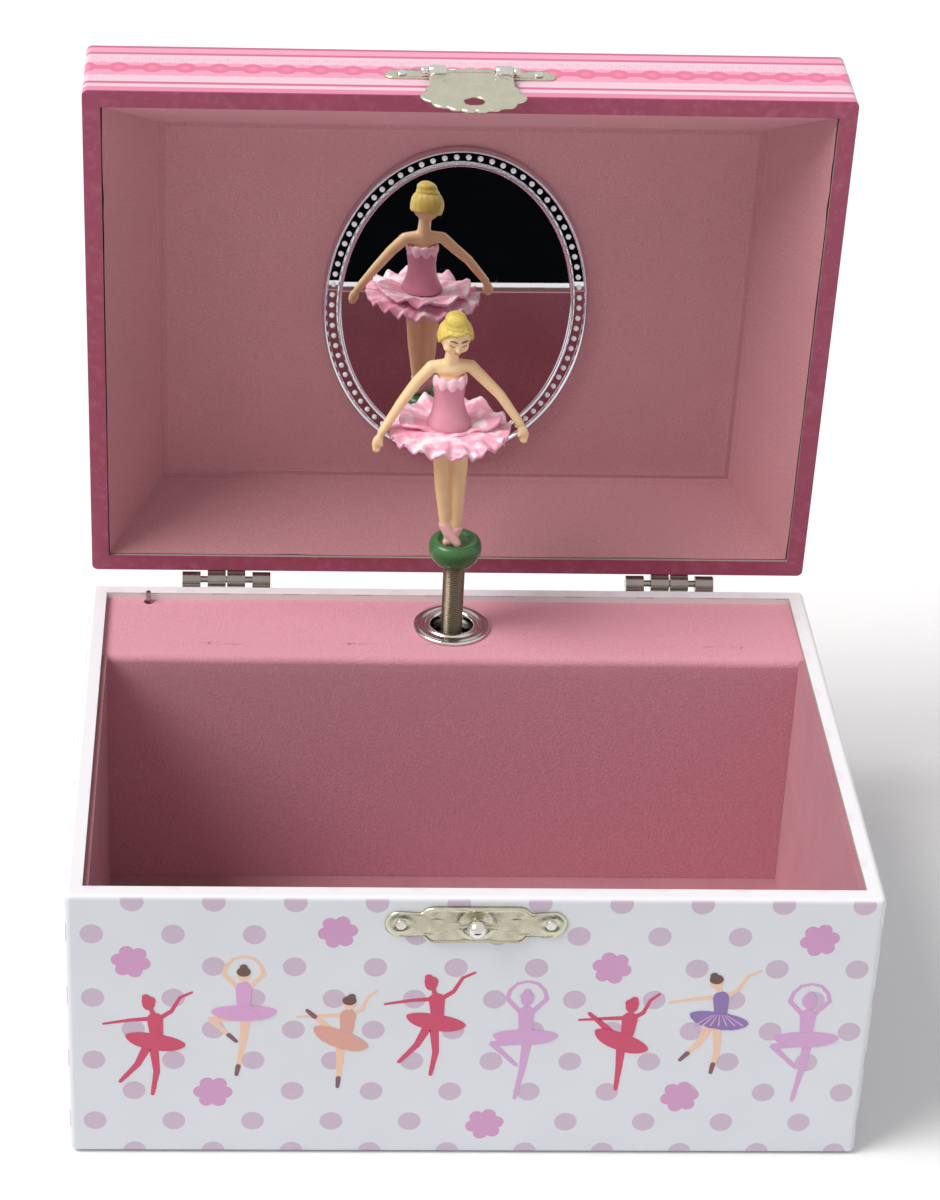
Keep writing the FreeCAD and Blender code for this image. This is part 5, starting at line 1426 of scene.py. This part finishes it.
def dancer_bodice():
    """The fitted bodice and the scalloped frill along its top."""
    rings = [(-2.4, 0.1, 106.6, 3.6, 2.9, 0.5), (-2.4, 0.15, 106.3, 4.35, 3.8, 0.6),
             (-2.4, 0.15, 106.75, 4.5, 4.0, 0.6), (-2.4, 0.15, 107.3, 4.25, 3.7, 0.4),
             (-2.48, 0.1, 108.9, 3.6, 2.95, 0.2), (-2.55, 0.05, 110.8, 3.1, 2.4, 0.0),
             (-2.6, 0.1, 112.6, 3.0, 2.35, 0.0), (-2.65, 0.2, 114.4, 3.2, 2.55, 0.0),
             (-2.65, 0.3, 115.8, 3.35, 2.65, 0.0), (-2.65, 0.25, 116.8, 3.2, 2.45, 0.2),
             (-2.65, 0.2, 117.0, 2.8, 2.15, 0.2)]
    made = lofted("dancer_bodice", rings, BODICE)
    mark_edges(made, 70)
    balls = []
    for k in range(72):
        angle = 2 * math.pi * k / 72
        swell = 0.52 + 0.14 * math.cos(angle * 9)
        dip = 0.25 * max(0.0, -math.sin(angle)) ** 2 + 0.18 * math.cos(angle * 9 + 0.6)
        at = on_dancer(-2.65 + 2.95 * math.cos(angle), 0.3 - 2.45 * math.sin(angle), 116.4 - dip)
        balls.append((at, (swell, swell, swell * 2.3), STRAIGHT))
    moulded("dancer_bust_frill", balls, 0.2, 2, FROST, "dancer")


def ruffle(name, inner, outer, height, swing, folds, phase, thick, rise, crisp, material):
    """A gathered frill round the waist: smooth near the body, soft folds with small points at its edge.

    rise(angle) gives how much the frill stands up there, from 0 at the front of an upper frill to 1;
    crisp says how tight its folds are: 4 keeps them to the edge.
    """
    across, out = 288, 24
    points, faces = [], []
    for layer in (0, 1):
        for j in range(out + 1):
            share = j / out
            for k in range(across):
                angle = 2 * math.pi * k / across
                drift = 0.5 * math.sin(angle * 3 + phase) + 0.3 * math.sin(angle * 5 + 2 * phase)
                turn = folds * angle / 2 + phase + drift
                fold = math.sqrt(math.sin(turn) ** 2 + 0.3 / crisp)
                wave = (fold - 0.72) * 1.6
                small = (0.05 * crisp) * (math.sin(turn * 4 + 1.0) + 0.6 * math.sin(angle * 37 + phase))
                stand = rise(angle)
                edge = outer * (1 + 0.05 * (fold - 0.6) + 0.02 * math.sin(angle * 4 + phase))
                radius = inner + (edge - inner) * share * (0.35 + 0.65 * stand if stand < 1 else 1)
                lump = noise.noise(Vector((radius * 0.5 * math.cos(angle), radius * 0.5 * math.sin(angle), phase)))
                z = height + swing * share ** crisp * (wave + small) * (0.3 + 0.7 * stand) + 0.22 * lump * share
                z += (stand * share ** 1.4 * 1.5 if rise(-math.pi / 2) < 0.5 else -0.7 * share ** 2)
                z -= thick * layer * (1 - 0.25 * share)
                waist = -2.2 + 0.4 * (1 - share)
                points.append(tuple(on_dancer(waist + radius * math.cos(angle), -radius * math.sin(angle), z)))
    size = (out + 1) * across
    for layer in (0, 1):
        wrap(faces, layer * size, out + 1, across)
    for j in (0, out):
        for k in range(across):
            ahead = (k + 1) % across
            a = j * across
            faces.append((a + k, a + ahead, size + a + ahead, size + a + k))
    return piece(name, points, faces, material, "dancer")


def all_round(_angle):
    """A frill that stands the same all the way round."""
    return 1.0


def behind(angle):
    """1 at the sides and back of the dancer, 0 in front of her."""
    share = min(max((math.sin(angle) + 0.62) / 0.5, 0.0), 1.0)
    return share * share * (3 - 2 * share)


def dancer_skirt():
    """Two frills: one all round, a shorter one standing up behind."""
    ruffle("tutu_lower_frill", 2.6, 12.0, 105.9, 1.45, 17, 0.4, 0.9, all_round, 4.0, TUTU)
    ruffle("tutu_upper_frill", 2.8, 9.9, 106.0, 1.5, 9, 1.2, 0.9, behind, 1.4, TUTU)


def dancer_shoes():
    """Crossed ballet shoes."""
    for name, steps in (("dancer_shoe_left", ((-2.3, 0.7, 83.4), (-1.5, 1.1, 81.7), (0.3, 2.0, 79.5))),
                        ("dancer_shoe_right", ((0.0, 0.6, 82.4), (-0.5, 0.7, 81.2), (-1.9, 1.2, 79.5)))):
        ankle, arch, toe = (on_dancer(*at) for at in steps)
        balls = limb([(ankle, 1.36), (arch, 1.34), (toe, 0.85)], 0.25)
        moulded(name, balls, 0.2, 2, SHOE, "dancer")


# ---------- CAD nodes that keep their own shape ----------
def dress_frame():
    """Gives every CAD node its finish."""
    finishes = (
        (CASE_PAPER, "case_wrap"),
        (BACKING_PAPER, "underside_sheet", "back_board"),
        (GREYBOARD, "bottom_board", "front_board", "left_board", "right_board", "movement_cover",
         "lid_top_board", "lid_front_rail", "lid_back_rail", "lid_left_rail", "lid_right_rail"),
        (SHADED_WALL_FLANNEL, "floor_liner", "front_liner", "left_liner", "right_liner"),
        (LINING, "lid_liner"),
        (LID_PAPER, "lid_wrap"),
        (RIM_PAPER, "lid_rim_binding"),
        (NICKEL, "eyelet", "catch_knob", "case_nails", "lid_nails"),
        (DARK_REFLECTION_HINGE_NICKEL, "case_hinge_leaves", "lid_hinge_leaves", "hinge_pins"),
        (WARM_NICKEL, "catch_plate", "hasp_strap", "hasp_flap", "winding_key"),
        (STEEL, "movement_screws", "bridge_screws", "comb", "comb_screws", "governor_frame", "click_pawl",
         "stop_clip", "winding_arbor", "cylinder_arbor", "worm_shaft", "stop_wire", "dancer_spindle",
         "mainspring"),
        (BRASS, "ratchet_wheel", "music_cylinder", "cylinder_wheel", "governor_wheel", "barrel_drum"),
        (ZINC, "bedplate", "lower_bearing_bracket", "upper_bearing_bracket", "spindle_bridge", "barrel_bridge"),
        (FAN_PLASTIC, "fan_blades"),
        (SPRING_STEEL, "post_spring"),
        (GREEN_PLASTIC, "dancer_stand"),
        (SKIN, "dancer_figure"),
        (CHROME_PLASTIC, "mirror_frame"),
        (MIRROR_GLASS, "mirror_plate"),
    )
    dressed = set()
    for material, *names in finishes:
        for name in names:
            node = NODES[name]
            if node.material_slots:
                for slot in node.material_slots:
                    slot.material = material
            else:
                node.data.materials.append(material)
            dressed.add(name)
    left = sorted(set(NODES) - dressed)
    if left:
        raise ValueError("no finish given for " + ", ".join(left))


# ---------- floor, lights and camera ----------
def flat_card(name, x0, y0, x1, y1, z, material):
    mesh = bpy.data.meshes.new(name)
    mesh.from_pydata([(x0, y0, z), (x1, y0, z), (x1, y1, z), (x0, y1, z)], [], [(0, 1, 2, 3)])
    mesh.materials.append(material)
    made = bpy.data.objects.new(name, mesh)
    bpy.context.scene.collection.objects.link(made)
    return made


def studio():
    """Pale floor, soft light from the upper left, and a dark card that only the mirror sees."""
    scene = bpy.context.scene
    world = bpy.data.worlds.new("studio_air")
    scene.world = world
    world.use_nodes = True
    air = world.node_tree.nodes["Background"]
    air.inputs["Color"].default_value = (1.0, 1.0, 1.0, 1.0)
    ray = wire(world.node_tree, "ShaderNodeLightPath")
    shine = calc(world.node_tree, "MULTIPLY_ADD", ray.outputs["Is Glossy Ray"], 0.4, 0.46)
    world.node_tree.links.new(shine, air.inputs["Strength"])
    flat_card("floor", -6, -6, 6, 6, -0.0002, table_top())
    flag = flat_card("dark_flag", -0.07, -0.31, 0.11, -0.14, 0.001, flag_paper())
    for way in ("visible_camera", "visible_diffuse", "visible_shadow", "visible_transmission"):
        setattr(flag, way, False)
    key = bpy.data.lights.new("key_light", "SUN")
    key.energy = 2.85
    key.angle = math.radians(36)
    key.color = (1.0, 0.99, 0.975)
    made = bpy.data.objects.new("key_light", key)
    made.rotation_euler = Vector((0.62, 0.16, -0.76)).to_track_quat("-Z", "Y").to_euler()
    scene.collection.objects.link(made)
    scene.view_settings.view_transform = "Standard"
    scene.view_settings.look = "None"


def flag_paper():
    """Matt black card."""
    finish = Finish("flag_paper", 0.9, Specular_IOR_Level=0.0)
    grain = finish.group(PAPER_GRAIN)
    finish.colour(tint(finish.tree, grain.outputs["Tone"], ink(4, 5, 7), ink(9, 10, 13)))
    return finish.material


def camera():
    """Looks down at the open box from its front, a little to the left."""
    lens = bpy.data.cameras.new("camera")
    lens.sensor_width = 36.0
    lens.lens = 96.98
    lens.shift_x = 0.08
    lens.shift_y = -0.025
    lens.clip_start = 0.01
    forward = Vector((0.03821, 0.86047, -0.50806)).normalized()
    right = Vector((0.99922, -0.02799, 0.02774))
    right = (right - forward * right.dot(forward)).normalized()
    up = right.cross(forward)
    turn = Matrix((right, up, -forward)).transposed()
    made = bpy.data.objects.new("camera", lens)
    made.matrix_world = Matrix.Translation((-0.04179, -0.52905, 0.40898)) @ turn.to_4x4()
    bpy.context.scene.collection.objects.link(made)
    bpy.context.scene.camera = made


dress_frame()
cover_card()
eyelet()
catch()
hasp()
front_face = corners("case_wrap")[0].y
flowers(front_face)
printed_row(front_face)
lid_lining()
mirror()
post()
stand()
dancer_body()
dancer_hair()
dancer_face()
dancer_bodice()
dancer_skirt()
dancer_shoes()
studio()
camera()
